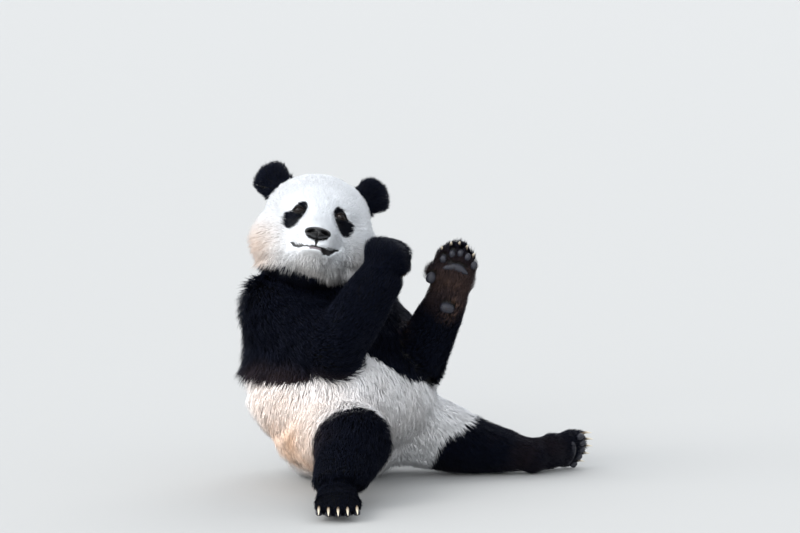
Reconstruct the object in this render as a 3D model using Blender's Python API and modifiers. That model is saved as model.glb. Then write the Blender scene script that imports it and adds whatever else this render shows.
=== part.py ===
"""A giant panda sitting on the floor: a still, life-size model such as a museum shows.

It sits on its rump, leaning back a little, with its hind legs spread in front of it. The right
leg is bent with its foot flat, and the left leg lies along the floor with its sole turned out.
The head looks over the right shoulder side, the right forepaw is a loose fist beside the mouth,
and the left forepaw is held up with its palm open.

Units are metres. +Z is up, the trunk faces -Y, and +X is the animal's left. The origin is on the
floor, in the flat under the rump. Every surface is the outline of the coat, out to its tips.

The body is modelled as lumps of clay (balls and tapered limbs) that are fused and smoothed, and
is then parted with thin cuts into the pieces that a person would name.
"""

import math

import bmesh
import bpy
from mathutils import Euler, Matrix, Vector

GAP = 0.0005  # between two neighbouring pieces
SEAM_ANGLE = math.radians(1.0)
SIDES = {"left": 1, "right": -1}

# Trunk, from the floor up. Each ball is a centre and three radii.
BELLY = ((0.0, 0.022, 0.245), (0.276, 0.262, 0.185))
RUMP = ((0.008, 0.034, 0.105), (0.180, 0.172, 0.125))
LOIN = ((-0.014, 0.072, 0.310), (0.250, 0.232, 0.085))
CHEST = ((-0.004, 0.072, 0.390), (0.246, 0.232, 0.190))
SHOULDERS = ((-0.008, 0.106, 0.478), (0.256, 0.160, 0.138))
NECK = (((-0.022, 0.102, 0.545), 0.160), ((-0.042, 0.082, 0.664), 0.142))
WAIST_HEIGHT = 0.290  # where the dark chest meets the pale belly
COLLAR_HEIGHT = 0.575  # where the neck starts
TAIL = ((0.0, 0.226, 0.104), (0.046, 0.040, 0.064))

# Limbs, as (joint, radius) from the trunk out.
ARMS = {
    "right": (
        ((-0.146, 0.098, 0.474), 0.126),
        ((-0.162, -0.137, 0.398), 0.086),
        ((-0.076, -0.222, 0.588), 0.070),
    ),
    "left": (
        ((0.130, 0.108, 0.444), 0.116),
        ((0.141, -0.130, 0.333), 0.088),
        ((0.127, -0.272, 0.515), 0.061),
    ),
}
LEGS = {
    "right": (
        ((-0.121, -0.004, 0.172), 0.133),
        ((-0.203, -0.262, 0.161), 0.106),
        ((-0.330, -0.340, 0.072), 0.074),
    ),
    "left": (
        ((0.125, 0.000, 0.168), 0.140),
        ((0.312, -0.178, 0.083), 0.086),
        ((0.430, -0.281, 0.055), 0.054),
    ),
}
REGION_MARGINS = (0.022, 0.010, 0.010)  # how far a limb's parting surface stands off, per joint

# Head, in its own frame: it faces -Y there, and its centre is between the cheeks.
HEAD_CENTRE = (-0.077, 0.041, 0.714)
HEAD_YAW, HEAD_PITCH, HEAD_ROLL = -37.0, -14.0, 10.0
CRANIUM = ((0.0, 0.020, 0.020), (0.153, 0.150, 0.134))
BROW = ((0.0, -0.052, 0.034), (0.122, 0.082, 0.084))
CHEEK = ((0.088, -0.012, -0.052), (0.089, 0.096, 0.096))
JOWLS = ((0.0, 0.010, -0.022), (0.170, 0.125, 0.112))
THROAT = ((0.0, 0.005, -0.095), (0.130, 0.108, 0.078))
MUZZLE = (((0.0, -0.080, -0.036), 0.078), ((0.0, -0.155, -0.062), 0.052))
CHIN = ((0.0, -0.106, -0.108), (0.060, 0.060, 0.042))
BIB = ((0.0, -0.060, -0.120), (0.090, 0.074, 0.058))
EYE = ((0.0575, -0.1165, 0.019), 0.0125)
NOSE = ((0.0, -0.196, -0.050), (0.037, 0.020, 0.0195))
MOUTH_HEIGHT = -0.080
EAR = ((0.143, 0.036, 0.119), (0.048, 0.028, 0.061))
EAR_ANGLE = 38.0  # how far an ear's own axis rises above the horizontal

# Paws, in their own frame: the wrist or ankle is the origin and the toes point along +Z, with the
# palm or sole facing -Y.
CLAW_LENGTH, CLAW_RADIUS, CLAW_SIDES = 0.030, 0.0055, 5


def clear_scene():
    for obj in list(bpy.data.objects):
        bpy.data.objects.remove(obj)


def make_collection(name):
    collection = bpy.data.collections.new(name)
    bpy.context.scene.collection.children.link(collection)
    return collection


def make_material(name, colour, roughness):
    made = bpy.data.materials.new(name)
    made.use_nodes = True
    shader = made.node_tree.nodes["Principled BSDF"]
    shader.inputs["Base Color"].default_value = (*colour, 1.0)
    shader.inputs["Roughness"].default_value = roughness
    shader.inputs["Metallic"].default_value = 0.0
    return made


# Clay: lumps are added to a bmesh, which is then fused into one closed surface.


def ball(clay, centre, radii, turn=None, segments=32):
    """An ellipsoid, turned about its own centre."""
    place = Matrix.Translation(centre)
    if turn:
        place = place @ turn.to_4x4()
    place = place @ Matrix.Diagonal((*radii, 1.0))
    rings = segments // 2
    bmesh.ops.create_uvsphere(clay, u_segments=segments, v_segments=rings, radius=1, matrix=place)


def limb(clay, joints):
    """A chain of balls joined by cones, such as an arm."""
    for centre, radius in joints:
        ball(clay, centre, [radius] * 3)
    for (start, wide), (end, narrow) in zip(joints, joints[1:]):
        along = Vector(end) - Vector(start)
        place = Matrix.Translation(Vector(start) + along / 2)
        place = place @ along.to_track_quat("Z", "Y").to_matrix().to_4x4()
        bmesh.ops.create_cone(
            clay,
            cap_ends=True,
            segments=32,
            radius1=wide,
            radius2=narrow,
            depth=along.length,
            matrix=place,
        )


def solid_from(clay, name):
    mesh = bpy.data.meshes.new(name)
    clay.to_mesh(mesh)
    clay.free()
    solid = bpy.data.objects.new(name, mesh)
    bpy.context.scene.collection.objects.link(solid)
    return solid


def apply_modifiers(solid):
    bpy.context.view_layer.update()
    graph = bpy.context.evaluated_depsgraph_get()
    mesh = bpy.data.meshes.new_from_object(solid.evaluated_get(graph), depsgraph=graph)
    solid.modifiers.clear()
    old = solid.data
    solid.data = mesh
    bpy.data.meshes.remove(old)


def fuse(clay, name, voxel, rounds, faces=None):
    """One closed, smoothed surface around the lumps, thinned to about this many triangles."""
    solid = solid_from(clay, name)
    remesh = solid.modifiers.new("Fuse", "REMESH")
    remesh.mode = "VOXEL"
    remesh.voxel_size = voxel
    smooth = solid.modifiers.new("Smooth", "SMOOTH")
    smooth.factor = 0.5
    smooth.iterations = rounds
    apply_modifiers(solid)
    if faces:
        thin = solid.modifiers.new("Thin", "DECIMATE")
        thin.ratio = faces / (2 * len(solid.data.polygons))
        apply_modifiers(solid)
    return solid


def place_solid(solid, place):
    solid.data.transform(place)
    return solid


# Parting: cutters are other solids, grown by the gap, so that neighbours never touch.


def duplicate(solid, name):
    copy = solid.copy()
    copy.data = solid.data.copy()
    copy.name = name
    bpy.context.scene.collection.objects.link(copy)
    return copy


def combine(solid, other, operation):
    boolean = solid.modifiers.new("Combine", "BOOLEAN")
    boolean.operation = operation
    boolean.solver = "EXACT"
    boolean.object = other
    apply_modifiers(solid)
    form = bmesh.new()
    form.from_mesh(solid.data)
    bmesh.ops.triangulate(form, faces=form.faces)
    form.to_mesh(solid.data)
    form.free()
    return solid


def grown(solid, distance=GAP):
    """A cutter: a copy of the solid with its surface moved outwards."""
    copy = duplicate(solid, solid.name + "_cutter")
    swell = copy.modifiers.new("Swell", "DISPLACE")
    swell.strength = distance
    swell.mid_level = 0.0
    apply_modifiers(copy)
    return copy


def cut_away(solid, other):
    """Takes the other solid, and the gap around it, out of this one."""
    cutter = grown(other)
    combine(solid, cutter, "DIFFERENCE")
    bpy.data.objects.remove(cutter)


def keep_largest(solid):
    """Drops the crumbs that a cut can leave beside the main piece."""
    form = bmesh.new()
    form.from_mesh(solid.data)
    unseen = set(form.verts)
    islands = []
    while unseen:
        island, edge = set(), [next(iter(unseen))]
        while edge:
            vertex = edge.pop()
            if vertex in island:
                continue
            island.add(vertex)
            edge.extend(link.other_vert(vertex) for link in vertex.link_edges)
        islands.append(island)
        unseen -= island
    islands.sort(key=len)
    crumbs = [vertex for island in islands[:-1] for vertex in island]
    bmesh.ops.delete(form, geom=crumbs, context="VERTS")
    form.to_mesh(solid.data)
    form.free()


def part_off(whole, region, name):
    """Moves what lies inside the region from the whole into a new solid."""
    piece = duplicate(whole, name)
    combine(piece, region, "INTERSECT")
    keep_largest(piece)
    cut_away(whole, region)
    keep_largest(whole)
    bpy.data.objects.remove(region)
    return piece


def slab(name, centre, normal, size=2.0, depth=1.0):
    """A block whose flat face passes through the centre, with the block on the normal's side."""
    clay = bmesh.new()
    bmesh.ops.create_cube(clay, size=1.0)
    facing = Vector(normal).normalized()
    place = Matrix.Translation(Vector(centre) + facing * depth / 2)
    place = place @ facing.to_track_quat("Z", "Y").to_matrix().to_4x4()
    place = place @ Matrix.Diagonal((size, size, depth, 1.0))
    clay.transform(place)
    return solid_from(clay, name)


def split_at(whole, centre, normal, name):
    """Parts the whole at a flat plane. What lies on the normal's side gets the new name."""
    facing = Vector(normal).normalized()
    far = duplicate(whole, name)
    near_block = slab("near", Vector(centre) - facing * GAP / 2, facing)
    far_block = slab("far", Vector(centre) + facing * GAP / 2, -facing)
    combine(far, far_block, "DIFFERENCE")
    combine(whole, near_block, "DIFFERENCE")
    bpy.data.objects.remove(near_block)
    bpy.data.objects.remove(far_block)
    keep_largest(far)
    keep_largest(whole)
    return far


def flatten_on_floor(solid):
    block = slab("floor", (0.0, 0.0, 0.0), (0.0, 0.0, -1.0), size=4.0)
    combine(solid, block, "DIFFERENCE")
    bpy.data.objects.remove(block)


# The head


def head_matrix():
    turn = Matrix.Rotation(math.radians(HEAD_YAW), 4, "Z")
    turn = turn @ Matrix.Rotation(math.radians(HEAD_PITCH), 4, "X")
    turn = turn @ Matrix.Rotation(math.radians(HEAD_ROLL), 4, "Y")
    return Matrix.Translation(HEAD_CENTRE) @ turn


def mirrored(point, side):
    return (point[0] * side, point[1], point[2])


def make_head():
    clay = bmesh.new()
    for centre, radii in (CRANIUM, BROW, JOWLS, THROAT, BIB, CHIN):
        ball(clay, centre, radii)
    for side in SIDES.values():
        ball(clay, mirrored(CHEEK[0], side), CHEEK[1])
    limb(clay, MUZZLE)
    return fuse(clay, "head", voxel=0.006, rounds=8, faces=780)


def make_eye(side_name):
    clay = bmesh.new()
    centre, radius = EYE
    ball(clay, mirrored(centre, SIDES[side_name]), [radius] * 3, segments=10)
    return solid_from(clay, "eye_" + side_name)


def make_nose():
    """The nose pad, broad at the top and narrowing to the lip."""
    clay = bmesh.new()
    (x, y, z), (width, depth, height) = NOSE
    ball(clay, (x, y, z + height * 0.15), (width, depth, height * 0.85))
    ball(clay, (x, y - 0.002, z - height * 0.35), (width * 0.55, depth * 0.8, height * 0.75))
    return fuse(clay, "nose", voxel=0.003, rounds=3, faces=140)


def make_ear(side_name):
    """A round, thick ear with a shallow hollow in front."""
    side = SIDES[side_name]
    (x, y, z), (reach, thickness, width) = EAR
    turn = Matrix.Rotation(math.radians(-EAR_ANGLE * side), 4, "Y")
    turn = turn @ Matrix.Rotation(math.radians(12.0 * side), 4, "Z")
    clay = bmesh.new()
    ball(clay, (x * side, y, z), (reach, thickness, width), turn)
    root = Vector((x * side, y, z)) - turn.to_3x3() @ Vector((0.035 * side, 0.0, 0.0))
    ball(clay, root, (0.040, 0.026, 0.040), turn)
    ear = fuse(clay, "ear_" + side_name, voxel=0.004, rounds=4, faces=180)
    bowl_clay = bmesh.new()
    hollow = Vector((x * side, y, z)) + turn.to_3x3() @ Vector((0.004 * side, -0.040, 0.0))
    ball(bowl_clay, hollow, (0.038, 0.024, 0.036), turn, segments=12)
    bowl = solid_from(bowl_clay, "bowl")
    combine(ear, bowl, "DIFFERENCE")
    bpy.data.objects.remove(bowl)
    return ear


def make_jaw_region():
    """What lies under the mouth line, ahead of the mouth's corners."""
    clay = bmesh.new()
    ball(clay, (0.0, -0.120, MOUTH_HEIGHT - 0.036), (0.076, 0.088, 0.038), segments=16)
    return solid_from(clay, "jaw_region")


# Paws and feet


def claw(clay, root, direction, bend):
    """A tapered, slightly hooked claw of two cones."""
    ahead = Vector(direction).normalized()
    hook = Vector(bend).normalized()
    middle = Vector(root) + ahead * CLAW_LENGTH * 0.5
    tip = middle + (ahead + hook * 0.55).normalized() * CLAW_LENGTH * 0.5
    rows = ((Vector(root), CLAW_RADIUS), (middle, CLAW_RADIUS * 0.8), (tip, CLAW_RADIUS * 0.2))
    rings = []
    for centre, radius in rows:
        across = ahead.cross(hook).normalized()
        ring = []
        for step in range(CLAW_SIDES):
            angle = step * math.tau / CLAW_SIDES
            offset = across * math.cos(angle) * 0.75 + hook * math.sin(angle)
            ring.append(clay.verts.new(centre + offset * radius))
        rings.append(ring)
    for lower, upper in zip(rings, rings[1:]):
        for step in range(CLAW_SIDES):
            after = (step + 1) % CLAW_SIDES
            clay.faces.new((lower[step], lower[after], upper[after], upper[step]))
    clay.faces.new(rings[-1])
    clay.faces.new(reversed(rings[0]))


def add_claws(paw, claws):
    for number, (root, direction, bend) in enumerate(claws):
        clay = bmesh.new()
        claw(clay, root, direction, bend)
        bmesh.ops.recalc_face_normals(clay, faces=clay.faces)
        horn = solid_from(clay, f"claw_{number}")
        combine(paw, horn, "UNION")
        bpy.data.objects.remove(horn)


def make_open_paw():
    """The left forepaw, palm to -Y, with the thumb-like pad on the -X side."""
    clay = bmesh.new()
    ball(clay, (0.000, 0.004, 0.000), (0.064, 0.052, 0.052))
    ball(clay, (0.004, 0.004, 0.062), (0.068, 0.038, 0.070))
    ball(clay, (0.004, 0.002, 0.105), (0.068, 0.032, 0.042))
    ball(clay, (-0.058, -0.012, 0.066), (0.025, 0.022, 0.032))
    claws = []
    for number in range(5):
        spread = number - 2
        angle = math.radians(13.0 * spread)
        reach = 0.147 - 0.0058 * spread * spread
        knuckle = (0.002 + 0.017 * spread, 0.002, 0.105)
        tip = (0.002 + 0.0215 * spread, -0.008, reach)
        limb(clay, ((knuckle, 0.0235), (tip, 0.0185)))
        ahead = (math.sin(angle) * 0.5, -0.45, 1.0)
        root = Vector(tip) + Vector((0.0, 0.004, 0.008))
        claws.append((root, ahead, (0.0, -1.0, 0.0)))
    paw = fuse(clay, "forepaw_left", voxel=0.004, rounds=3, faces=340)
    add_claws(paw, claws)
    return paw


def make_fist():
    """The right forepaw, curled as if round a stem: knuckles to +Z, toes folded to -Y."""
    clay = bmesh.new()
    ball(clay, (0.000, 0.000, 0.000), (0.062, 0.058, 0.054))
    ball(clay, (0.000, 0.008, 0.050), (0.062, 0.044, 0.056))
    ball(clay, (-0.046, -0.030, 0.044), (0.022, 0.030, 0.026))
    claws = []
    for number in range(5):
        spread = number - 2
        across = 0.0225 * spread
        high = 0.084 - 0.003 * spread * spread
        knuckle = (across, 0.012, high)
        bend = (across * 0.95, -0.034, high + 0.006)
        tip = (across * 0.85, -0.052, high - 0.040)
        limb(clay, ((knuckle, 0.024), (bend, 0.021), (tip, 0.0165)))
        root = Vector(tip) + Vector((0.0, -0.002, -0.008))
        claws.append((root, (0.0, 0.35, -1.0), (0.0, 1.0, 0.0)))
    paw = fuse(clay, "forepaw_right", voxel=0.004, rounds=3, faces=340)
    add_claws(paw, claws)
    return paw


def make_hind_foot(name):
    """A plantigrade foot, heel at the origin, toes along +Z, sole to -Y."""
    clay = bmesh.new()
    ball(clay, (0.000, 0.000, 0.000), (0.058, 0.052, 0.056))
    ball(clay, (0.000, -0.002, 0.060), (0.060, 0.045, 0.074))
    ball(clay, (0.000, -0.006, 0.116), (0.066, 0.038, 0.050))
    claws = []
    for number in range(5):
        spread = number - 2
        tip = (0.0245 * spread, -0.014, 0.166 - 0.0040 * spread * spread)
        knuckle = (0.0210 * spread, -0.004, 0.122)
        limb(clay, ((knuckle, 0.024), (tip, 0.0185)))
        root = Vector(tip) + Vector((0.0, 0.004, 0.008))
        claws.append((root, (0.03 * spread, 0.05, 1.0), (0.0, -1.0, 0.0)))
    foot = fuse(clay, name, voxel=0.004, rounds=3, faces=260)
    add_claws(foot, claws)
    return foot


def frame_at(origin, toes, sole):
    """The matrix that puts a paw's own frame at a place: toes along +Z, sole facing -Y."""
    up = Vector(toes).normalized()
    back = -(Vector(sole) - Vector(sole).dot(up) * up).normalized()
    side = back.cross(up)
    turn = Matrix((side, back, up)).transposed().to_4x4()
    return Matrix.Translation(origin) @ turn


# Where each paw goes: its origin, the way its toes point, and the way its palm or sole faces.
PAWS = {
    "forepaw_left": ((0.123, -0.274, 0.519), (0.150, -0.150, 0.980), (-0.669, -0.743, 0.050)),
    "forepaw_right": ((-0.074, -0.220, 0.598), (0.190, -0.140, 0.960), (0.860, 0.100, -0.150)),
    "hindfoot_left": ((0.440, -0.291, 0.053), (0.945, -0.150, 0.095), (0.000, -0.880, -0.420)),
    "hindfoot_right": ((-0.334, -0.342, 0.050), (-0.640, -0.768, -0.020), (0.0, 0.0, -1.0)),
}


# The flat cut between a paw and its limb, in the paw's own frame: a point, and the way to the toes.
WRIST = ((0.0, 0.0, 0.004), (0.0, 0.0, 1.0))
ANKLE = ((0.0, 0.030, 0.010), (0.0, -0.80, 0.60))


def trim_at_joint(paw, limb_piece, name):
    """Cuts a paw and its limb at the same flat plane, with the gap between them."""
    place = frame_at(*PAWS[name])
    centre, normal = WRIST if name.startswith("fore") else ANKLE
    centre, normal = place @ Vector(centre), place.to_3x3() @ Vector(normal)
    beyond = slab("beyond", centre - normal * GAP / 2, normal, size=0.4, depth=0.4)
    before = slab("before", centre + normal * GAP / 2, -normal, size=0.4, depth=0.4)
    combine(limb_piece, beyond, "DIFFERENCE")
    combine(paw, before, "DIFFERENCE")
    bpy.data.objects.remove(beyond)
    bpy.data.objects.remove(before)
    keep_largest(limb_piece)
    keep_largest(paw)


def make_body():
    """Trunk, neck and limbs in one surface."""
    clay = bmesh.new()
    for centre, radii in (BELLY, RUMP, LOIN, CHEST, SHOULDERS):
        ball(clay, centre, radii)
    limb(clay, NECK)
    for joints in (*ARMS.values(), *LEGS.values()):
        limb(clay, joints)
    return fuse(clay, "body", voxel=0.010, rounds=14, faces=1240)


def limb_region(joints, name):
    clay = bmesh.new()
    limb(clay, [(at, radius + more) for (at, radius), more in zip(joints, REGION_MARGINS)])
    return fuse(clay, name, voxel=0.012, rounds=4, faces=130)


def joint_plane(joints):
    """The plane through a limb's middle joint that halves its bend."""
    start, middle, end = (Vector(centre) for centre, _ in joints)
    return middle, (middle - start).normalized() + (end - middle).normalized()


def drop_slivers(solid):
    """Joins the small, nearly level faces that the cuts leave along a seam."""
    form = bmesh.new()
    form.from_mesh(solid.data)
    bmesh.ops.dissolve_limit(form, angle_limit=SEAM_ANGLE, verts=form.verts, edges=form.edges)
    bmesh.ops.triangulate(form, faces=form.faces)
    form.to_mesh(solid.data)
    form.free()


def finish(pieces, collection, material):
    for piece in pieces:
        drop_slivers(piece)
        piece.data.materials.clear()
        piece.data.materials.append(material)
        piece.data.shade_smooth()
        for owner in list(piece.users_collection):
            owner.objects.unlink(piece)
        collection.objects.link(piece)


def main():
    clear_scene()
    collection = make_collection("giant_panda")
    white_coat = make_material("white_coat", (0.78, 0.72, 0.64), 0.9)
    black_coat = make_material("black_coat", (0.012, 0.013, 0.017), 0.85)
    wet_black = make_material("wet_black", (0.010, 0.010, 0.012), 0.25)

    place_head = head_matrix()
    head = place_solid(make_head(), place_head)
    eyes = [place_solid(make_eye(name), place_head) for name in SIDES]
    nose = place_solid(make_nose(), place_head)
    ears = [place_solid(make_ear(name), place_head) for name in SIDES]
    jaw_region = place_solid(make_jaw_region(), place_head)

    paws = {
        "forepaw_left": make_open_paw(),
        "forepaw_right": make_fist(),
        "hindfoot_left": make_hind_foot("hindfoot_left"),
        "hindfoot_right": make_hind_foot("hindfoot_right"),
    }
    for name, paw in paws.items():
        place_solid(paw, frame_at(*PAWS[name]))

    clay = bmesh.new()
    ball(clay, *TAIL)
    tail = fuse(clay, "tail", voxel=0.006, rounds=3, faces=200)

    body = make_body()
    for solid in (body, tail, *paws.values()):
        flatten_on_floor(solid)
    for solid in (head, tail):
        cut_away(body, solid)
    keep_largest(body)

    dark, pale = [], [head, tail]
    for side in SIDES:
        arm = part_off(body, limb_region(ARMS[side], "region"), "upper_arm_" + side)
        forearm = split_at(arm, *joint_plane(ARMS[side]), "forearm_" + side)
        thigh = part_off(body, limb_region(LEGS[side], "region"), "thigh_" + side)
        shank = split_at(thigh, *joint_plane(LEGS[side]), "shank_" + side)
        trim_at_joint(paws["forepaw_" + side], forearm, "forepaw_" + side)
        trim_at_joint(paws["hindfoot_" + side], shank, "hindfoot_" + side)
        dark += [arm, forearm, shank]
        pale.append(thigh)

    body.name = "belly"
    chest = split_at(body, (0.0, 0.0, WAIST_HEIGHT), (0.0, 0.10, 1.0), "chest")
    neck = split_at(chest, (0.0, 0.08, COLLAR_HEIGHT), (0.10, 0.35, 1.0), "neck")
    pale += [body, neck]
    dark.append(chest)

    for ear in ears:
        cut_away(ear, head)
    for eye in eyes:
        cut_away(head, eye)
    cut_away(head, nose)
    jaw = part_off(head, jaw_region, "lower_jaw")
    pale.append(jaw)

    finish(pale, collection, white_coat)
    finish([*dark, *ears, *paws.values()], collection, black_coat)
    finish([*eyes, nose], collection, wet_black)


main()
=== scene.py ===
"""Dresses the sitting giant panda: one skin, a coat of solid tufts, eyes, nose, pads and claws."""

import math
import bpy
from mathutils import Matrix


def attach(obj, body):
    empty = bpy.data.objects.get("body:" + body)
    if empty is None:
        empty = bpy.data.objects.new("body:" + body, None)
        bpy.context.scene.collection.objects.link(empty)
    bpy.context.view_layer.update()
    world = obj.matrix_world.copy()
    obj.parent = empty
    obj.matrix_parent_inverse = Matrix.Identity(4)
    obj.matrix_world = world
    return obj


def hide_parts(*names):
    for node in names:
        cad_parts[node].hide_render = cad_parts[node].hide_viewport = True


bl_info = {
    "name": "Sitting giant panda",
    "version": (1, 0, 0),
    "blender": (4, 5, 0),
    "location": "View3D > Sidebar > Panda",
    "description": "Builds the skin, coat, eyes, nose, pads and claws of a sitting giant panda",
    "category": "Object",
}

from itertools import product

import bmesh
import bpy
import numpy as np
from bpy.props import FloatProperty, FloatVectorProperty, IntProperty, PointerProperty, StringProperty
from mathutils import Matrix, Vector, kdtree

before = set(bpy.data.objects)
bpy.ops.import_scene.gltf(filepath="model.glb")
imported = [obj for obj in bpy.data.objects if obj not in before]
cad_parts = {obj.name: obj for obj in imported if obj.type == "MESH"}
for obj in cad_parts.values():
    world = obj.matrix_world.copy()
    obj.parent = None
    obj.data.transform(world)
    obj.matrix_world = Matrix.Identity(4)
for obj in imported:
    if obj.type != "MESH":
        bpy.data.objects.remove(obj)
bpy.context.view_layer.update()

BODY = "root"
SIDES = {"left": 1.0, "right": -1.0}
UNFLESHED = ("eye_left", "eye_right", "nose")  # the nodes that aren't skin and hair
FLESH = [name for name in sorted(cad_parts) if name not in UNFLESHED]

# The head's own frame: it faces -Y there, and its centre is between the cheeks.
HEAD_CENTRE = (-0.077, 0.041, 0.714)
HEAD_YAW, HEAD_PITCH, HEAD_ROLL = -37.0, -14.0, 10.0
EYE_CENTRE = np.array((0.0575, -0.1150, 0.0185))
EYE_RADIUS = 0.0125
EYE_TILT = math.radians(-12.0)  # the outer corners are lower
SLIT_WIDTH, SLIT_HEIGHT = 0.0135, 0.0078  # half of each, between the lids
GAZE = np.array((0.30, -0.93, 0.16))
NOSE_CENTRE, NOSE_TILT = np.array((0.0, -0.196, -0.050)), -8.0
EAR_CENTRE = np.array((0.143, 0.036, 0.119))
EAR_SIZE = np.array((0.048, 0.028, 0.061))
EAR_ANGLE, EAR_TURN = 38.0, 12.0

# Where each paw's own frame is: its origin, the way its toes point, and the way its sole faces.
PAWS = {
    "forepaw_left": ((0.123, -0.274, 0.519), (0.150, -0.150, 0.980), (-0.669, -0.743, 0.050)),
    "forepaw_right": ((-0.074, -0.220, 0.598), (0.190, -0.140, 0.960), (0.860, 0.100, -0.150)),
    "hindfoot_left": ((0.440, -0.291, 0.053), (0.945, -0.150, 0.095), (0.000, -0.880, -0.420)),
    "hindfoot_right": ((-0.334, -0.342, 0.050), (-0.640, -0.768, -0.020), (0.0, 0.0, -1.0)),
}

# The body's forms, as the solids have them. Limbs run from ball to ball, and the rest is ellipsoids.
JOINTS = {
    "shoulder_right": ((-0.146, 0.098, 0.474), 0.126),
    "elbow_right": ((-0.162, -0.137, 0.398), 0.086),
    "wrist_right": ((-0.076, -0.222, 0.588), 0.070),
    "shoulder_left": ((0.130, 0.108, 0.444), 0.116),
    "elbow_left": ((0.141, -0.130, 0.333), 0.088),
    "wrist_left": ((0.127, -0.272, 0.515), 0.061),
    "hip_right": ((-0.121, -0.004, 0.172), 0.133),
    "knee_right": ((-0.203, -0.262, 0.161), 0.106),
    "ankle_right": ((-0.330, -0.340, 0.072), 0.074),
    "hip_left": ((0.125, 0.000, 0.168), 0.140),
    "knee_left": ((0.312, -0.178, 0.083), 0.086),
    "ankle_left": ((0.430, -0.281, 0.055), 0.054),
}
LIMBS = {
    "upper_arm": ("shoulder", "elbow"),
    "forearm": ("elbow", "wrist"),
    "thigh": ("hip", "knee"),
    "shank": ("knee", "ankle"),
}
TRUNK = {
    "belly": (
        ((0, 0.022, 0.245), (0.276, 0.262, 0.185)),
        ((0.008, 0.034, 0.105), (0.180, 0.172, 0.125)),
        ((-0.014, 0.072, 0.310), (0.250, 0.232, 0.085)),
    ),
    "chest": (
        ((-0.004, 0.072, 0.390), (0.246, 0.232, 0.190)),
        ((-0.008, 0.106, 0.478), (0.256, 0.160, 0.138)),
    ),
    "neck": (((-0.022, 0.102, 0.545), (0.160,) * 3), ((-0.042, 0.082, 0.664), (0.142,) * 3)),
    "tail": (((0, 0.226, 0.104), (0.046, 0.040, 0.064)),),
}
HEAD_FORMS = (
    ((0, 0.020, 0.020), (0.153, 0.150, 0.134)),
    ((0, -0.052, 0.034), (0.122, 0.082, 0.084)),
    ((0.088, -0.012, -0.052), (0.089, 0.096, 0.096)),
    ((-0.088, -0.012, -0.052), (0.089, 0.096, 0.096)),
    ((0, 0.010, -0.022), (0.170, 0.125, 0.112)),
    ((0, 0.005, -0.095), (0.130, 0.108, 0.078)),
    ((0, -0.060, -0.120), (0.090, 0.074, 0.058)),
    ((0, -0.120, -0.050), (0.066, 0.090, 0.064)),
    ((0, -0.106, -0.108), (0.060, 0.060, 0.042)),
)
FOOT_FORMS = (
    ((0, 0, 0), (0.058, 0.052, 0.056)),
    ((0, -0.002, 0.060), (0.060, 0.045, 0.074)),
    ((0, -0.008, 0.132), (0.068, 0.038, 0.056)),
)
PAW_FORMS = {
    "forepaw_left": (
        ((0, 0.004, 0), (0.064, 0.052, 0.052)),
        ((0.004, 0.004, 0.062), (0.068, 0.038, 0.070)),
        ((0.004, 0, 0.118), (0.068, 0.032, 0.050)),
        ((-0.058, -0.012, 0.066), (0.025, 0.022, 0.032)),
    ),
    "forepaw_right": (
        ((0, 0, 0), (0.062, 0.058, 0.054)),
        ((0, 0.008, 0.050), (0.062, 0.044, 0.056)),
        ((0, -0.030, 0.075), (0.062, 0.040, 0.040)),
        ((-0.046, -0.030, 0.044), (0.022, 0.030, 0.026)),
    ),
    "hindfoot_left": FOOT_FORMS,
    "hindfoot_right": FOOT_FORMS,
}

# Each part's coat: how deep it lies over the skin, and the room that each tuft has, in metres.
COATS = {
    "belly": (0.021, 0.0041),
    "chest": (0.020, 0.0041),
    "neck": (0.019, 0.0036),
    "tail": (0.013, 0.0042),
    "upper_arm": (0.019, 0.0038),
    "forearm": (0.014, 0.0035),
    "thigh": (0.020, 0.0039),
    "shank": (0.016, 0.0037),
    "forepaw": (0.0075, 0.0028),
    "hindfoot": (0.0080, 0.0029),
    "head": (0.012, 0.0029),
    "ear": (0.0095, 0.0028),
}
PART_NAMES = [*TRUNK, *(f"{limb}_{side}" for limb in LIMBS for side in SIDES), *PAWS]
PART_NAMES += ["head", "ear_left", "ear_right"]
HEAD_ROW = PART_NAMES.index("head")


# Numbers and arrays


def unit(vectors):
    vectors = np.asarray(vectors, float)
    return vectors / np.maximum(np.linalg.norm(vectors, axis=-1, keepdims=True), 1e-12)


def smoothstep(value, low, high):
    share = np.clip((value - low) / (high - low), 0.0, 1.0)
    return share * share * (3.0 - 2.0 * share)


def blend(first, second, share):
    share = np.asarray(share)
    if np.ndim(first) > np.ndim(share) or np.ndim(second) > np.ndim(share):
        share = share[..., None]
    return first + (second - first) * share


def ripple(points, size, seed):
    """Smooth unevenness from -1 to 1 whose swells are about this far apart."""
    rng = np.random.default_rng(seed)
    waves = unit(rng.normal(size=(6, 3))) * (math.tau / size) * rng.uniform(0.6, 1.5, (6, 1))
    phases = rng.uniform(0, math.tau, 6)
    return np.clip(np.sin(points @ waves.T + phases).sum(axis=1) / 2.6, -1.0, 1.0)


def bell(value, width):
    """1 at 0, fading out evenly on both sides."""
    return np.exp(-((value / width) ** 2))


def near(points, place, reach):
    """A share that is 1 at a place and fades out round it."""
    return np.exp(-np.sum((points - np.array(place)) ** 2, axis=1) / reach**2)


def along_bone(points, start, end):
    """How far points are from a bone, and their share of the way along it."""
    start, axis = np.array(start), np.array(end) - np.array(start)
    share = np.clip((points - start) @ axis / (axis @ axis), 0.0, 1.0)
    return np.linalg.norm(points - (start + share[:, None] * axis), axis=1), share


def turned(vectors, matrix):
    return vectors @ np.array(matrix)[:3, :3].T


def moved(points, matrix):
    return turned(points, matrix) + np.array(matrix)[:3, 3]


def turn_by(degrees, axis):
    return Matrix.Rotation(math.radians(degrees), 4, axis)


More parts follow.
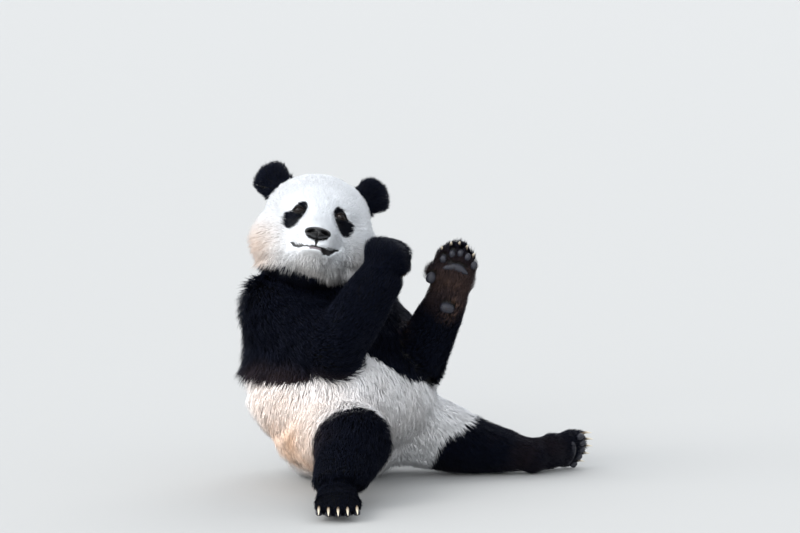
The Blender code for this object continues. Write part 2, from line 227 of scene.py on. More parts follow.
def ear_matrix(side):
    """An ear's own frame, in the head's: +X points out along the ear and -Y is its front."""
    turn = turn_by(-EAR_ANGLE * side, "Y") @ turn_by(EAR_TURN * side, "Z")
    return Matrix.Translation(EAR_CENTRE * (side, 1, 1)) @ turn


def facing(ahead, under):
    """The turn that points +Z ahead, and -Y as nearly under as it can."""
    up = Vector(ahead).normalized()
    back = -(Vector(under) - Vector(under).dot(up) * up).normalized()
    return Matrix((back.cross(up), back, up)).transposed().to_4x4()


def paw_matrix(name):
    origin, toes, sole = PAWS[name]
    return Matrix.Translation(origin) @ facing(toes, sole)


HEAD_TURN = turn_by(HEAD_YAW, "Z") @ turn_by(HEAD_PITCH, "X") @ turn_by(HEAD_ROLL, "Y")
HEAD = Matrix.Translation(HEAD_CENTRE) @ HEAD_TURN
TO_HEAD = HEAD.inverted()


# Blender helpers


def linear(code):
    """A linear colour from an sRGB hex code."""
    parts = [int(code[i : i + 2], 16) / 255 for i in (1, 3, 5)]
    return [c / 12.92 if c <= 0.04045 else ((c + 0.055) / 1.055) ** 2.4 for c in parts] + [1.0]


def deselect():
    for obj in bpy.context.selected_objects:
        obj.select_set(False)


def use_only(obj):
    deselect()
    obj.hide_set(False)
    obj.select_set(True)
    bpy.context.view_layer.objects.active = obj


def apply_modifier(obj, kind, **settings):
    use_only(obj)
    modifier = obj.modifiers.new(kind.title(), kind)
    for name, value in settings.items():
        setattr(modifier, name, value)
    bpy.ops.object.modifier_apply(modifier=modifier.name)


def edit_all(obj, operator, *runs):
    """Runs an edit-mode operator on the whole of an object, once with each of these settings."""
    use_only(obj)
    bpy.ops.object.mode_set(mode="EDIT")
    for settings in runs:
        bpy.ops.mesh.select_all(action="SELECT")
        operator(**settings)
    bpy.ops.object.mode_set(mode="OBJECT")


def read_vectors(items, key):
    flat = np.empty(len(items) * 3, np.float32)
    items.foreach_get(key, flat)
    return flat.reshape(-1, 3).astype(float)


def coordinates(mesh):
    return read_vectors(mesh.vertices, "co")


def vertex_normals(mesh):
    return read_vectors(mesh.vertex_normals, "vector")


def set_coordinates(mesh, points):
    mesh.vertices.foreach_set("co", points.astype(np.float32).ravel())
    mesh.update()


def set_values(mesh, name, values):
    """A number on every vertex, for the materials to read."""
    attribute = mesh.attributes.new(name, "FLOAT", "POINT")
    attribute.data.foreach_set("value", np.asarray(values, np.float32))


def triangle_mesh(name, points, triangles):
    mesh = bpy.data.meshes.new(name)
    mesh.vertices.add(len(points))
    mesh.loops.add(triangles.size)
    mesh.loops.foreach_set("vertex_index", triangles.astype(np.int32).ravel())
    mesh.polygons.add(len(triangles))
    mesh.polygons.foreach_set("loop_start", np.arange(0, triangles.size, 3, dtype=np.int32))
    set_coordinates(mesh, points)
    return mesh


def link_object(name, data):
    obj = bpy.data.objects.new(name, data)
    bpy.context.scene.collection.objects.link(obj)
    return obj


def settle(obj, material, slot, *nodes, place=None):
    """Gives a finished piece its material and its place in the frame."""
    if place:
        obj.data.transform(place)
    obj.data.shade_smooth()
    use_only(obj)
    bpy.ops.object.transform_apply(location=True, rotation=True, scale=True)
    obj.data.materials.clear()
    obj.data.materials.append(material)
    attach(obj, BODY)
    if nodes:
        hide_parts(*nodes)
    deselect()


def new_ball(name, segments, rings, radius=1.0):
    bpy.ops.mesh.primitive_uv_sphere_add(segments=segments, ring_count=rings, radius=radius)
    ball = bpy.context.active_object
    ball.name = ball.data.name = name
    return ball


def join(objects, name):
    use_only(objects[0])
    for obj in objects:
        obj.select_set(True)
    bpy.ops.object.join()
    objects[0].name = objects[0].data.name = name
    return objects[0]


# Materials


def new_material(name, values):
    """A material, its tree, and its principled shader with these values on its inputs."""
    material = bpy.data.materials.new(name)
    material.use_nodes = True
    shader = material.node_tree.nodes["Principled BSDF"]
    for key, value in values.items():
        shader.inputs[key].default_value = value
    return material, material.node_tree, shader


def add_node(tree, kind, inputs=(), **settings):
    """Adds a node. Each input gets a hex colour, a value, or the output that feeds it."""
    node = tree.nodes.new(kind)
    for key, value in settings.items():
        setattr(node, key, value)
    for key, value in dict(inputs).items():
        if isinstance(value, bpy.types.NodeSocket):
            tree.links.new(value, node.inputs[key])
        else:
            node.inputs[key].default_value = linear(value) if isinstance(value, str) else value
    return node


def lay_colours(tree, base, *layers):
    """Lays colours over a base, each as far as a vertex attribute or an output says."""
    for share, colour in layers:
        if isinstance(share, str):
            share = add_node(tree, "ShaderNodeAttribute", attribute_name=share).outputs["Fac"]
        mix = add_node(tree, "ShaderNodeMix", {0: share, 6: base, 7: colour}, data_type="RGBA")
        base = mix.outputs[2]
    return base


def finish_surface(tree, shader, colour, height, strength, depth, pits=False):
    """Gives the shader its colour, and relief of a depth in metres from a pattern's height."""
    relief = {"Strength": strength, "Distance": depth, "Height": height}
    bump = add_node(tree, "ShaderNodeBump", relief, invert=pits)
    tree.links.new(colour, shader.inputs["Base Color"])
    tree.links.new(bump.outputs["Normal"], shader.inputs["Normal"])


# Grey for soil, and for painted shade on the lower belly, the chin, the right cheek, the muzzle and the
# bridge of the nose.
SOIL_AND_SHADE_COLOUR = "#8B8B8A"


def hair_material(name, root, layers, tones, gloss):
    """Guard hair: coarse, slightly oily keratin, whose tufts differ a little in tone."""
    material, tree, shader = new_material(name, {"IOR": 1.55, **gloss})
    tone = add_node(tree, "ShaderNodeAttribute", attribute_name="tone").outputs["Fac"]
    shade = add_node(tree, "ShaderNodeMapRange", {"Value": tone, "To Min": tones[0], "To Max": tones[1]})
    inputs = {0: 1.0, 6: lay_colours(tree, root, *layers), 7: shade.outputs["Result"]}
    hue = add_node(tree, "ShaderNodeMix", inputs, data_type="RGBA", blend_type="MULTIPLY")
    tree.links.new(hue.outputs[2], shader.inputs["Base Color"])
    return material


def white_hair_material(colours):
    """White panda guard hair, with a broad soft gloss, a little greyer at each tuft's root as painted
    shade. Stains make it cream, and a grey layer of soil and painted shade greys it.
    """
    layers = ("along", colours.white_hair), ("warm", colours.stained_hair), ("soil_and_shade", SOIL_AND_SHADE_COLOUR)
    gloss = {"Roughness": 0.62, "Specular IOR Level": 0.25, "Sheen Weight": 0.12, "Sheen Roughness": 0.5}
    return hair_material("white_guard_hair", "#ECEDEF", layers, (0.92, 1.0), gloss)


def black_hair_material(colours):
    """Black panda guard hair: dense, with a cool gloss along the locks, blacker at each tuft's root as
    painted shade; the faint blue of its tips is partly a painted sheen. Stains make it brown.
    """
    layers = ("along", colours.black_hair), ("warm", "#6B5446")
    gloss = {"Roughness": 0.50, "Specular IOR Level": 0.14, "Specular Tint": linear("#9DB4FF")}
    return hair_material("black_guard_hair", "#030303", layers, (0.55, 1.25), gloss)


def skin_material():
    """Panda skin under the hair: pale under white, near black under black and on the lips."""
    gloss = {"Roughness": 0.6, "Specular IOR Level": 0.25}
    material, tree, shader = new_material("bear_skin", gloss)
    # As on the hair, the grey layer is soil and painted shade.
    under_white = lay_colours(tree, "#E6EAEE", ("warm", "#E9D3BC"), ("soil_and_shade", SOIL_AND_SHADE_COLOUR))
    hue = lay_colours(tree, under_white, ("dark", "#050505"), ("bare", "#100B0A"), ("lip", "#776D72"))
    place = add_node(tree, "ShaderNodeTexCoord").outputs["Object"]
    # Pores and fine creases about 1.5 mm apart.
    creases = add_node(tree, "ShaderNodeTexNoise", {"Vector": place, "Scale": 650.0, "Detail": 3.0})
    finish_surface(tree, shader, hue, creases.outputs["Fac"], 0.35, 0.0008)
    return material


def nose_material():
    """Wet rhinarium skin: black, pebbled about 1 mm, with a moist coat over it, and painted shade in the
    grooves between the pebbles and in the nostrils.
    """
    gloss = {"Roughness": 0.38, "Specular IOR Level": 0.32, "Coat Weight": 0.18, "Coat Roughness": 0.22}
    material, tree, shader = new_material("wet_nose_skin", gloss)
    place = add_node(tree, "ShaderNodeTexCoord").outputs["Object"]
    pebbles = add_node(tree, "ShaderNodeTexVoronoi", {"Vector": place, "Scale": 780.0})
    edges = pebbles.outputs["Distance"]
    # Painted shade: darker in the grooves between the pebbles, and near black deep in the nostrils.
    hue = lay_colours(tree, "#0D0D10", (edges, "#050506"), ("painted_nostril_shade", "#010101"))
    finish_surface(tree, shader, hue, edges, 0.5, 0.0006, pits=True)
    return material


def pad_material():
    """Thick paw-pad skin: blue-grey, dry and leathery, pebbled about 1.3 mm and worn paler, with painted
    shade in the grooves between the pebbles.
    """
    material, tree, shader = new_material("paw_pad_skin", {"Roughness": 0.52})
    place = add_node(tree, "ShaderNodeTexCoord").outputs["Object"]
    pebbles = add_node(tree, "ShaderNodeTexVoronoi", {"Vector": place, "Scale": 620.0})
    edges = pebbles.outputs["Distance"]
    patches = add_node(tree, "ShaderNodeTexNoise", {"Vector": place, "Scale": 70.0, "Detail": 4.0})
    # The darker pebble edges are painted shade in the grooves.
    hue = lay_colours(tree, "#12131C", (patches.outputs["Fac"], "#282B3D"), (edges, "#121217"))
    finish_surface(tree, shader, hue, edges, 0.6, 0.0008, pits=True)
    return material


def claw_material():
    """Bear claw: horn that is dark at the quick and worn to ivory at the tip, lightly ridged."""
    material, tree, shader = new_material("claw_horn", {"Roughness": 0.35})
    place = add_node(tree, "ShaderNodeTexCoord").outputs["Object"]
    streaks = add_node(tree, "ShaderNodeTexNoise", {"Vector": place, "Scale": 420.0, "Detail": 3.0})
    ivory = lay_colours(tree, "#F0E8D6", (streaks.outputs["Fac"], "#CDBE9F"))
    hue = lay_colours(tree, "#6B5A48", ("along", ivory))
    finish_surface(tree, shader, hue, streaks.outputs["Fac"], 0.3, 0.0004)
    return material


# The eye's colours from the middle of the pupil to the back of the ball, by the share of the way.
EYE_STOPS = (
    (0.0, "#020202"),
    (0.20, "#030202"),
    (0.24, "#180D07"),
    (0.42, "#110905"),
    (0.50, "#080504"),
    (0.62, "#2B211C"),
    (1.0, "#1A1310"),
)


def eye_material():
    """A bear's eye: dark brown iris round a black pupil, under a clear wet cornea."""
    gloss = {"Roughness": 0.12, "IOR": 1.38, "Specular IOR Level": 0.15}
    gloss |= {"Coat Weight": 0.3, "Coat Roughness": 0.03}
    material, tree, shader = new_material("dark_brown_eye", gloss)
    rim = add_node(tree, "ShaderNodeAttribute", attribute_name="rim").outputs["Fac"]
    ring = add_node(tree, "ShaderNodeValToRGB", {"Fac": rim})
    stops = ring.color_ramp.elements
    while len(stops) < len(EYE_STOPS):
        stops.new(0.5)
    for stop, (place, code) in zip(stops, EYE_STOPS):
        stop.position, stop.color = place, linear(code)
    tree.links.new(ring.outputs["Color"], shader.inputs["Base Color"])
    return material


# What each place on the body is like


def ball_distance(points, centre, radii):
    """Roughly how far points are outside an ellipsoid."""
    offset, radii = points - np.array(centre), np.array(radii)
    reach = np.linalg.norm(offset / radii, axis=1)
    slope = np.linalg.norm(offset / radii**2, axis=1)
    return reach * (reach - 1.0) / np.maximum(slope, 1e-9)


def limb_distance(points, first, last):
    (start, thick), (end, thin) = first, last
    away, share = along_bone(points, start, end)
    return away - blend(thick, thin, share)


def nearest_form(points, forms):
    return np.min([ball_distance(points, *form) for form in forms], axis=0)


def bone(limb, side):
    """A limb's first and last ball, each a centre and a radius."""
    return [JOINTS[f"{end}_{side}"] for end in LIMBS[limb]]


def part_distances(points):
    """How far points are outside each body part, a row for each of PART_NAMES."""
    rows = {name: nearest_form(points, forms) for name, forms in TRUNK.items()}
    for limb in LIMBS:
        for side in SIDES:
            rows[f"{limb}_{side}"] = limb_distance(points, *bone(limb, side))
    for paw, forms in PAW_FORMS.items():
        rows[paw] = nearest_form(moved(points, paw_matrix(paw).inverted()), forms)
    local = moved(points, TO_HEAD)
    rows["head"] = nearest_form(local, HEAD_FORMS)
    for name, side in SIDES.items():
        ear = moved(local, ear_matrix(side).inverted())
        rows["ear_" + name] = ball_distance(ear, (0, 0, 0), EAR_SIZE)
    return np.array([rows[name] for name in PART_NAMES])


def coat_of(part):
    return COATS.get(part) or COATS[part.rsplit("_", 1)[0]]


SEAM_FADE = 0.009  # how softly one body part's coat turns into the next one's


def part_weights(points):
    """How much each body part rules each point. Each point's row adds up to 1."""
    depths = np.array([coat_of(part)[0] for part in PART_NAMES])
    reach = np.clip(part_distances(points).T + depths, -0.05, None)
    weights = np.exp(-reach / SEAM_FADE)
    return weights / weights.sum(axis=1, keepdims=True)


def head_coat(local):
    """Coat depth, tuft room and lie of the hair on the head, which runs away from the nose."""
    across, ahead, down = np.abs(local[:, 0]), -local[:, 1], -local[:, 2]
    face = smoothstep(ahead, -0.05, 0.12)
    muzzle = smoothstep(ahead, 0.115, 0.160)
    cheek = smoothstep(across, 0.070, 0.140) * smoothstep(down, -0.045, 0.045)
    chin = smoothstep(down, 0.093, 0.116) * smoothstep(ahead, 0.0, 0.06)
    depth = blend(0.0115, 0.0060, face) + cheek * 0.0100 + chin * 0.0105
    depth = blend(depth, 0.0030, muzzle * (1 - chin))
    room = blend(0.0030, 0.0022, face)
    away = local - (0.0, -0.235, -0.035)
    away[:, 2] -= cheek * 0.10 + chin * 0.14
    away[:, 2] -= 0.12 * smoothstep(-ahead, 0.03, 0.12)
    return depth, room, unit(away)


def bone_way(limb, side):
    """The way from a limb's first ball to its last."""
    first, last = (np.array(centre) for centre, _ in bone(limb, side))
    return unit(last - first)


LIMB_ENDS = {"forearm": "wrist", "forepaw": "wrist", "shank": "ankle", "hindfoot": "ankle"}
LIMB_END_DEPTH = 0.0110  # the coat's, where the paw starts


def limb_end_depth(part, points, depth):
    """The coat thins out evenly from the forearm or shank to the paw."""
    name, _, side = part.rpartition("_")
    if name not in LIMB_ENDS:
        return depth
    centre, _ = JOINTS[f"{LIMB_ENDS[name]}_{side}"]
    away = np.linalg.norm(points - np.array(centre), axis=1)
    return blend(depth, LIMB_END_DEPTH, smoothstep(0.15 - away, 0.0, 0.09))


def paw_way(paw, points):
    """Hair on a paw runs to the toes, and on the fist it turns over the knuckles and down."""
    matrix = paw_matrix(paw)
    local = moved(points, matrix.inverted())
    way = np.tile((0.0, 0.0, 1.0), (len(points), 1))
    if paw.startswith("hindfoot"):
        shank = bone_way("shank", paw.split("_")[1])
        return blend(shank, turned(way, matrix), smoothstep(local[:, 2], 0.01, 0.12))
    if paw == "forepaw_right":
        y, z = local[:, 1] + 0.012, local[:, 2] - 0.040
        turning = np.stack([np.zeros(len(y)), -z, y], axis=1)
        way = blend(way, unit(turning), smoothstep(local[:, 2], 0.0, 0.05))
    return turned(way, matrix)


def part_way(part, points, local):
    """The way that the hair runs on one body part."""
    name, _, side = part.rpartition("_")
    if part in TRUNK:
        return np.tile((0.0, 0.0, -1.0), (len(points), 1))
    if name in LIMBS:
        way = bone_way(name, side)
        if name == "thigh":  # the haunch's hair hangs as the flank's does
            way = unit(0.55 * way - (0.0, 0.0, 0.90))
        return np.tile(way, (len(points), 1))
    if part in PAWS:
        return paw_way(part, points)
    if part == "head":
        return turned(head_coat(local)[2], HEAD)
    # An ear's hair fans out from the middle of its base.
    ear = ear_matrix(SIDES[side])
    fan = moved(local, ear.inverted()) + (0.040 * SIDES[side], 0.0, 0.0)
    return turned(unit(fan * (1.0, 0.5, 1.0)), HEAD @ ear)


BODY_DROOP = 0.20  # how far long hair leans down


def coat_values(points, normals):
    """The coat's depth, the room per tuft, the way it lies, and each body part's share."""
    weights = part_weights(points)
    local = moved(points, TO_HEAD)
    head_depth, head_room, _ = head_coat(local)
    depth, room, way = np.zeros(len(points)), np.zeros(len(points)), np.zeros((len(points), 3))
    for part, share in zip(PART_NAMES, weights.T):
        part_depth, part_room = (head_depth, head_room) if part == "head" else coat_of(part)
        depth += share * limb_end_depth(part, points, part_depth)
        room += share * part_room
        way += share[:, None] * part_way(part, points, local)
    on_head = weights[:, HEAD_ROW:].sum(axis=1)  # with the ears
    way[:, 2] -= BODY_DROOP * (1 - on_head)
    way -= normals * np.sum(way * normals, axis=1, keepdims=True)
    return depth, room, unit(way), weights


# Where the white belly rises to a point between the arms, in radians round the trunk and in metres.
NOTCH_ANGLE, NOTCH_SPREAD, NOTCH_RISE = -0.34, (0.75, 0.62), 0.082


def round_trunk(points):
    """The angle round the trunk's axis, 0 in front and growing to the left."""
    return np.arctan2(points[:, 0], 0.07 - points[:, 1])


def trunk_edges(points):
    """The heights between which the dark band crosses the trunk."""
    angle = round_trunk(points)
    past = angle - NOTCH_ANGLE
    notch = 1.0 - np.where(past > 0, past / NOTCH_SPREAD[1], -past / NOTCH_SPREAD[0])
    low = 0.270 + 0.024 * np.cos(angle + 0.70) + NOTCH_RISE * smoothstep(notch, 0.0, 1.0)
    return low, 0.620 + 0.020 * np.cos(angle)


def collar_height(points):
    """Where the head's white hair ends: lowest under the chin, and higher at the sides."""
    return 0.566 + 0.046 * smoothstep(np.abs(round_trunk(points) + 0.35), 0.15, 1.0)


PATCH_CENTRE, PATCH_TILT, PATCH_REACH = (0.0650, 0.0070), math.radians(29.0), 0.0435


def eye_patch(local):
    """How far inside a dark eye patch a point on the face is: above 0 is inside."""
    x, z = np.abs(local[:, 0]) - PATCH_CENTRE[0], local[:, 2] - PATCH_CENTRE[1]
    along = (x * math.sin(PATCH_TILT) - z * math.cos(PATCH_TILT)) / PATCH_REACH
    outward = x * math.cos(PATCH_TILT) + z * math.sin(PATCH_TILT)
    outer = 0.0175 + 0.0110 * smoothstep(along, -0.10, 0.33) - 0.0040 * smoothstep(along, 0.45, 1.0)
    half = np.where(outward < 0, 0.0180, outer)
    inside = 1.0 - np.sqrt(np.abs(along) ** 3 + (outward / half) ** 2)
    return np.where(local[:, 1] < -0.03, inside, -1.0)


# Where each dark lower leg starts: a point on the edge, and the way the leg goes from there.
LEG_EDGES = {
    "right": ((-0.196, -0.248, 0.158), (-0.860, -1.420, -0.660)),
    "left": ((0.308, -0.199, 0.160), (0.655, -0.535, -0.420)),
}
LEFT_EDGE_SLANT = 0.062  # how much further up the leg the edge is, on its lower side
DARK_ARM = ("upper_arm", "forearm", "forepaw")
DARK_LEG = ("thigh", "shank", "hindfoot")


def past_edge(distance):
    """From 0 to 1 across the blurred edge of a marking."""
    return smoothstep(distance, -0.006, 0.006)


def markings(points):
    """How dark the coat is at each point, from 0 for white to 1 for black."""
    low, high = trunk_edges(points)
    height = points[:, 2]
    part = dict(zip(PART_NAMES, part_weights(points).T))
    dark = past_edge(height - low) * past_edge(high - height)
    arms = sum(part[f"{name}_{side}"] for name in DARK_ARM for side in SIDES)
    dark = np.maximum(dark, smoothstep(arms, 0.42, 0.58) * smoothstep(height, 0.262, 0.276))
    for side, (edge, beyond) in LEG_EDGES.items():
        leg = sum(part[f"{name}_{side}"] for name in DARK_LEG)
        past = (points - np.array(edge)) @ unit(np.array(beyond))
        if side == "left":
            past += LEFT_EDGE_SLANT * smoothstep(edge[2] - height, 0.0, 0.06)
        dark = np.maximum(dark, past_edge(past) * smoothstep(leg, 0.3, 0.5))
    under = past_edge(collar_height(points) - height)
    dark = blend(dark, under, smoothstep(part["head"], 0.35, 0.6))
    dark = np.maximum(dark, smoothstep(eye_patch(moved(points, TO_HEAD)), -0.06, 0.06))
    return np.maximum(dark, smoothstep(part["ear_left"] + part["ear_right"], 0.3, 0.6))


# Cream stains: how strong each is, where it is, and how far it reaches.
BODY_STAINS = (
    (0.95, (-0.25, -0.07, 0.10), 0.16),  # right haunch
    (0.30, (-0.20, 0.10, 0.20), 0.15),  # right flank
    (0.10, (0.0, -0.20, 0.20), 0.20),  # belly
)
PAW_STAINS = (
    (0.42, (0.13, -0.28, 0.56), 0.09),  # open palm
    (0.14, (0.45, -0.28, 0.06), 0.20),  # left foot
)
STREAKY_STAINS = (
    (1.6, (0.100, -0.330, 0.475), 0.035),  # left wrist
    (0.5, (0.115, -0.130, 0.430), 0.050),  # crook of the left arm
)


def all_stains(points, places):
    return sum(strength * near(points, place, reach) for strength, place, reach in places)


def stains_and_painted_light(points):
    """Cream staining, and a grey layer of soil and painted shade, from 0 to 1. On black hair, cream reads
    as brown.
    """
    local = moved(points, TO_HEAD)
    x, ahead, down = local[:, 0], -local[:, 1], -local[:, 2]
    on_head = smoothstep(near(local, (0, 0, 0), 0.19), 0.15, 0.35)
    on_head *= smoothstep(points[:, 2] - collar_height(points), 0.0, 0.012)
    patchy = 0.5 + 0.5 * ripple(points, 0.11, 11)
    streaks = smoothstep(ripple(points, 0.009, 43), -0.1, 0.5)

    cheek = smoothstep(-x, 0.06, 0.16) * smoothstep(down, -0.02, 0.08)
    # The warm tint on the left jowl is a painted warm reflection in its shade; the cream under the chin
    # is the hair's own.
    jowl = smoothstep(x, 0.07, 0.14) * smoothstep(down, 0.02, 0.09)
    beard = np.maximum(jowl, smoothstep(down, 0.095, 0.130))
    body = 0.05 + all_stains(points, BODY_STAINS)
    warm = blend(body, 0.02 + 0.72 * cheek + 0.25 * beard, on_head)
    warm += all_stains(points, PAW_STAINS) + all_stains(points, STREAKY_STAINS) * streaks

    # Grey on the lower belly, between the legs: soil, and painted shade there. It grows greyer within 6
    # cm of the floor, and is patchy.
    soil_and_shade = 0.25 * near(points, (0.06, -0.18, 0.12), 0.16)  # lower belly
    soil_and_shade = (soil_and_shade + 0.3 * smoothstep(0.06 - points[:, 2], 0.0, 0.06)) * blend(0.5, 1.0, patchy)
    # Grey chin hair, made darker lower down as painted shade under the head.
    chin = smoothstep(down, 0.088, 0.120) * smoothstep(ahead, 0.04, 0.10)
    chin *= 0.85 + 0.25 * ripple(points, 0.010, 44)
    # Painted shade: grey over the muzzle towards the nose, and in the folds on the bridge of the nose
    # between the eyes.
    face = 0.03 * smoothstep(ahead, 0.04, 0.12) + 0.30 * smoothstep(ahead, 0.115, 0.165)
    face += 0.10 * bell(x, 0.02) * bell(down + 0.01, 0.03)  # bridge of the nose
    face *= 1 - smoothstep(down, 0.05, 0.09)
    # On the head the grey is the chin's hair, and painted shade on the right cheek and over the muzzle.
    soil_and_shade = blend(soil_and_shade, chin + 0.12 * cheek + face, on_head)
    return np.clip(warm * blend(0.75, 1.0, patchy), 0, 1), np.clip(soil_and_shade, 0, 1)


# The face


def eye_frame(side):
    """An eye's centre, and its gaze, lateral and upward directions, in the head's frame."""
    gaze = unit(GAZE * (side, 1, 1))
    out = unit(np.cross((0.0, 0.0, 1.0), gaze)) * side
    up = unit(np.cross(gaze, out)) * side
    slit = out * math.cos(EYE_TILT) + up * math.sin(EYE_TILT)
    rise = up * math.cos(EYE_TILT) - out * math.sin(EYE_TILT)
    return EYE_CENTRE * (side, 1, 1), gaze, slit, rise


def lid_opening(local, side):
    """How far out from the eye's slit points are (1 is the lid's edge), and their lie round it."""
    centre, gaze, slit, rise = eye_frame(side)
    from_eye = local - centre
    a, b, front = from_eye @ slit, from_eye @ rise, from_eye @ gaze
    tall = SLIT_HEIGHT * np.sqrt(np.clip(1.0 - 0.55 * (a / 0.0145) ** 2, 0.1, 1.0))
    return np.sqrt((a / SLIT_WIDTH) ** 2 + (b / tall) ** 2), a, b, front


MOUTH_HALF = 0.066


def mouth_height(across):
    """The mouth line: nearly level in front, and hooked up at the corners."""
    share = np.clip(across / MOUTH_HALF, 0.0, 1.0)
    return -0.0840 - 0.0015 * np.sin(share * math.pi) + 0.0125 * smoothstep(share, 0.42, 1.0)


def mouth_gap(local):
    """Half the height of the dark gap where the lips part, a little on each side of the middle."""
    x = local[:, 0]
    right = smoothstep(-x, 0.030, 0.042) * smoothstep(x, -0.066, -0.056)
    left = smoothstep(x, 0.012, 0.024) * smoothstep(-x, -0.062, -0.040)
    return 0.0018 * right + 0.0056 * left


def near_mouth(local):
    """How far points are above the mouth's gap, and a share that fades out at its corners."""
    across = np.abs(local[:, 0])
    fade = smoothstep(MOUTH_HALF + 0.006 - across, 0.0, 0.010) * smoothstep(-local[:, 1], 0.07, 0.09)
    return local[:, 2] - mouth_height(across) + mouth_gap(local), fade


def lower_lip(local):
    """The bare, pinkish rim of the lower lip, from 0 to 1."""
    above, fade = near_mouth(local)
    middle = smoothstep(0.024 - np.abs(local[:, 0] - 0.001), 0.0, 0.012)
    mottled = 0.80 + 0.35 * ripple(local, 0.006, 41)
    below = smoothstep(-above, 0.0010, 0.0020) * smoothstep(above, -0.0085, -0.0060)
    return fade * middle * mottled * below


def sculpt_face(points):
    """Moves skin points for the eye sockets, the lids, the mouth and the cleft of the upper lip."""
    local = moved(points, TO_HEAD)
    for side in SIDES.values():
        gaze = eye_frame(side)[1]
        ring, a, b, front = lid_opening(local, side)
        flat = np.sqrt(a**2 + b**2)
        close = (flat < 0.034) & (front > -0.012)
        globe = np.sqrt(np.clip((EYE_RADIUS + 0.0022) ** 2 - flat**2, 0.0, None))
        globe = np.where(flat < EYE_RADIUS, globe, globe - (flat - EYE_RADIUS) * 0.25)
        hold = 1.0 - smoothstep(flat, 0.013, 0.030)
        target = blend(front, globe, hold)
        edge = bell(ring - 1.22, 0.20) * 0.0011
        crease = bell(ring - 1.75, 0.16) * 0.0012 * (b > 0)
        hidden = np.sqrt(np.clip((EYE_RADIUS - 0.0016) ** 2 - flat**2, 0.0, None))
        target = np.where(ring < 1.0, hidden, target + edge - crease)
        shift = np.where(close, target - front, 0.0)
        local += shift[:, None] * gaze
    above, fade = near_mouth(local)
    gap = mouth_gap(local)
    groove = bell(above, 0.0028 + gap) * fade
    lips = bell(np.abs(above) - 0.0085 - gap, 0.006) * fade
    outward = unit(local - (0.0, -0.06, -0.07))
    local += outward * (lips * 0.0018 - groove * (0.0056 + 1.2 * gap))[:, None]
    middle = bell(local[:, 0], 0.0022) * smoothstep(-local[:, 1], 0.17, 0.19)
    middle *= smoothstep(local[:, 2], -0.088, -0.082) * smoothstep(-local[:, 2], 0.058, 0.064)
    local[:, 1] += middle * 0.004
    return moved(local, HEAD)


def bare_places(points):
    """1 where the skin has no hair: lid edges, lips, and under the nose pad."""
    local = moved(points, TO_HEAD)
    bare = np.zeros(len(points))
    for side in SIDES.values():
        ring, _, _, front = lid_opening(local, side)
        bare = np.maximum(bare, ((ring < 1.38) & (front > -0.01)).astype(float))
    above, fade = near_mouth(local)
    corners = smoothstep(np.abs(local[:, 0]), 0.030, 0.040)
    band = (0.0021 + mouth_gap(local) + 0.0010 * corners) * (1.0 + 0.30 * ripple(local, 0.013, 42))
    bare = np.maximum(bare, bell(above, band) * fade)
    bare = np.maximum(bare, lower_lip(local))
    nose = np.linalg.norm((local - NOSE_CENTRE) / (0.035, 0.030, 0.018), axis=1)
    bare = np.maximum(bare, (nose < 1.0).astype(float))
    below = (-0.064 - local[:, 2]) / 0.021  # the dark cleft narrows from the nose to the lip
    middle = (np.abs(local[:, 0]) < blend(0.0068, 0.0012, np.clip(below, 0.0, 1.0))) & (below > -0.4)
    return np.maximum(bare, (middle & (below < 1.0) & (local[:, 1] < -0.16)).astype(float))


# Skin


def refine(obj, wanted):
    """Divides the faces whose middles the test picks, so that small forms can be shaped."""
    form = bmesh.new()
    form.from_mesh(obj.data)
    middles = np.array([face.calc_center_median() for face in form.faces])
    form.faces.ensure_lookup_table()
    chosen = [form.faces[i] for i in np.flatnonzero(wanted(middles))]
    edges = list({edge for face in chosen for edge in face.edges})
    bmesh.ops.subdivide_edges(form, edges=edges, cuts=1, use_grid_fill=True, smooth=0.0)
    bmesh.ops.triangulate(form, faces=[face for face in form.faces if len(face.verts) > 4])
    form.to_mesh(obj.data)
    form.free()


def on_face(points):
    local = moved(points, TO_HEAD)
    ahead = -local[:, 1]
    return (ahead > 0.045) & (np.abs(local[:, 0]) < 0.11) & (local[:, 2] < 0.07) & (local[:, 2] > -0.15)


def on_lids(points):
    local = moved(points, TO_HEAD)
    chosen = np.zeros(len(points), bool)
    for side in SIDES.values():
        _, a, b, front = lid_opening(local, side)
        chosen |= (np.hypot(a, b) < 0.024) & (front > -0.015)
    return chosen


def on_lids_or_lips(points):
    above, fade = near_mouth(moved(points, TO_HEAD))
    return on_lids(points) | ((np.abs(above) < 0.018) & (fade > 0))


SKIN_FLOOR = 0.004  # how far the lowest skin is above the floor


def make_skin(settings):
    copies = [link_object(name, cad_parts[name].data.copy()) for name in FLESH]
    skin = join(copies, "panda_skin")
    edit_all(skin, bpy.ops.mesh.remove_doubles, {"threshold": 0.00001})
    # The body parts only touch, so they swell a little before they fuse.
    apply_modifier(skin, "DISPLACE", strength=0.0006, mid_level=0.0)
    apply_modifier(skin, "REMESH", mode="VOXEL", voxel_size=settings.first_grid)
    apply_modifier(skin, "SMOOTH", factor=0.5, iterations=6)
    points, normals = coordinates(skin.data), vertex_normals(skin.data)
    depth = coat_values(points, normals)[0]
    set_coordinates(skin.data, points - normals * (depth * settings.depth_share)[:, None])
    apply_modifier(skin, "SMOOTH", factor=0.5, iterations=4)
    apply_modifier(skin, "REMESH", mode="VOXEL", voxel_size=settings.second_grid)
    apply_modifier(skin, "SMOOTH", factor=0.5, iterations=4)
    refine(skin, on_face)
    apply_modifier(skin, "SMOOTH", factor=0.5, iterations=3)
    refine(skin, on_lids_or_lips)
    refine(skin, on_lids)
    points = sculpt_face(coordinates(skin.data))
    points[:, 2] = np.maximum(points[:, 2], SKIN_FLOOR)
    set_coordinates(skin.data, points)
    return skin


# Coat

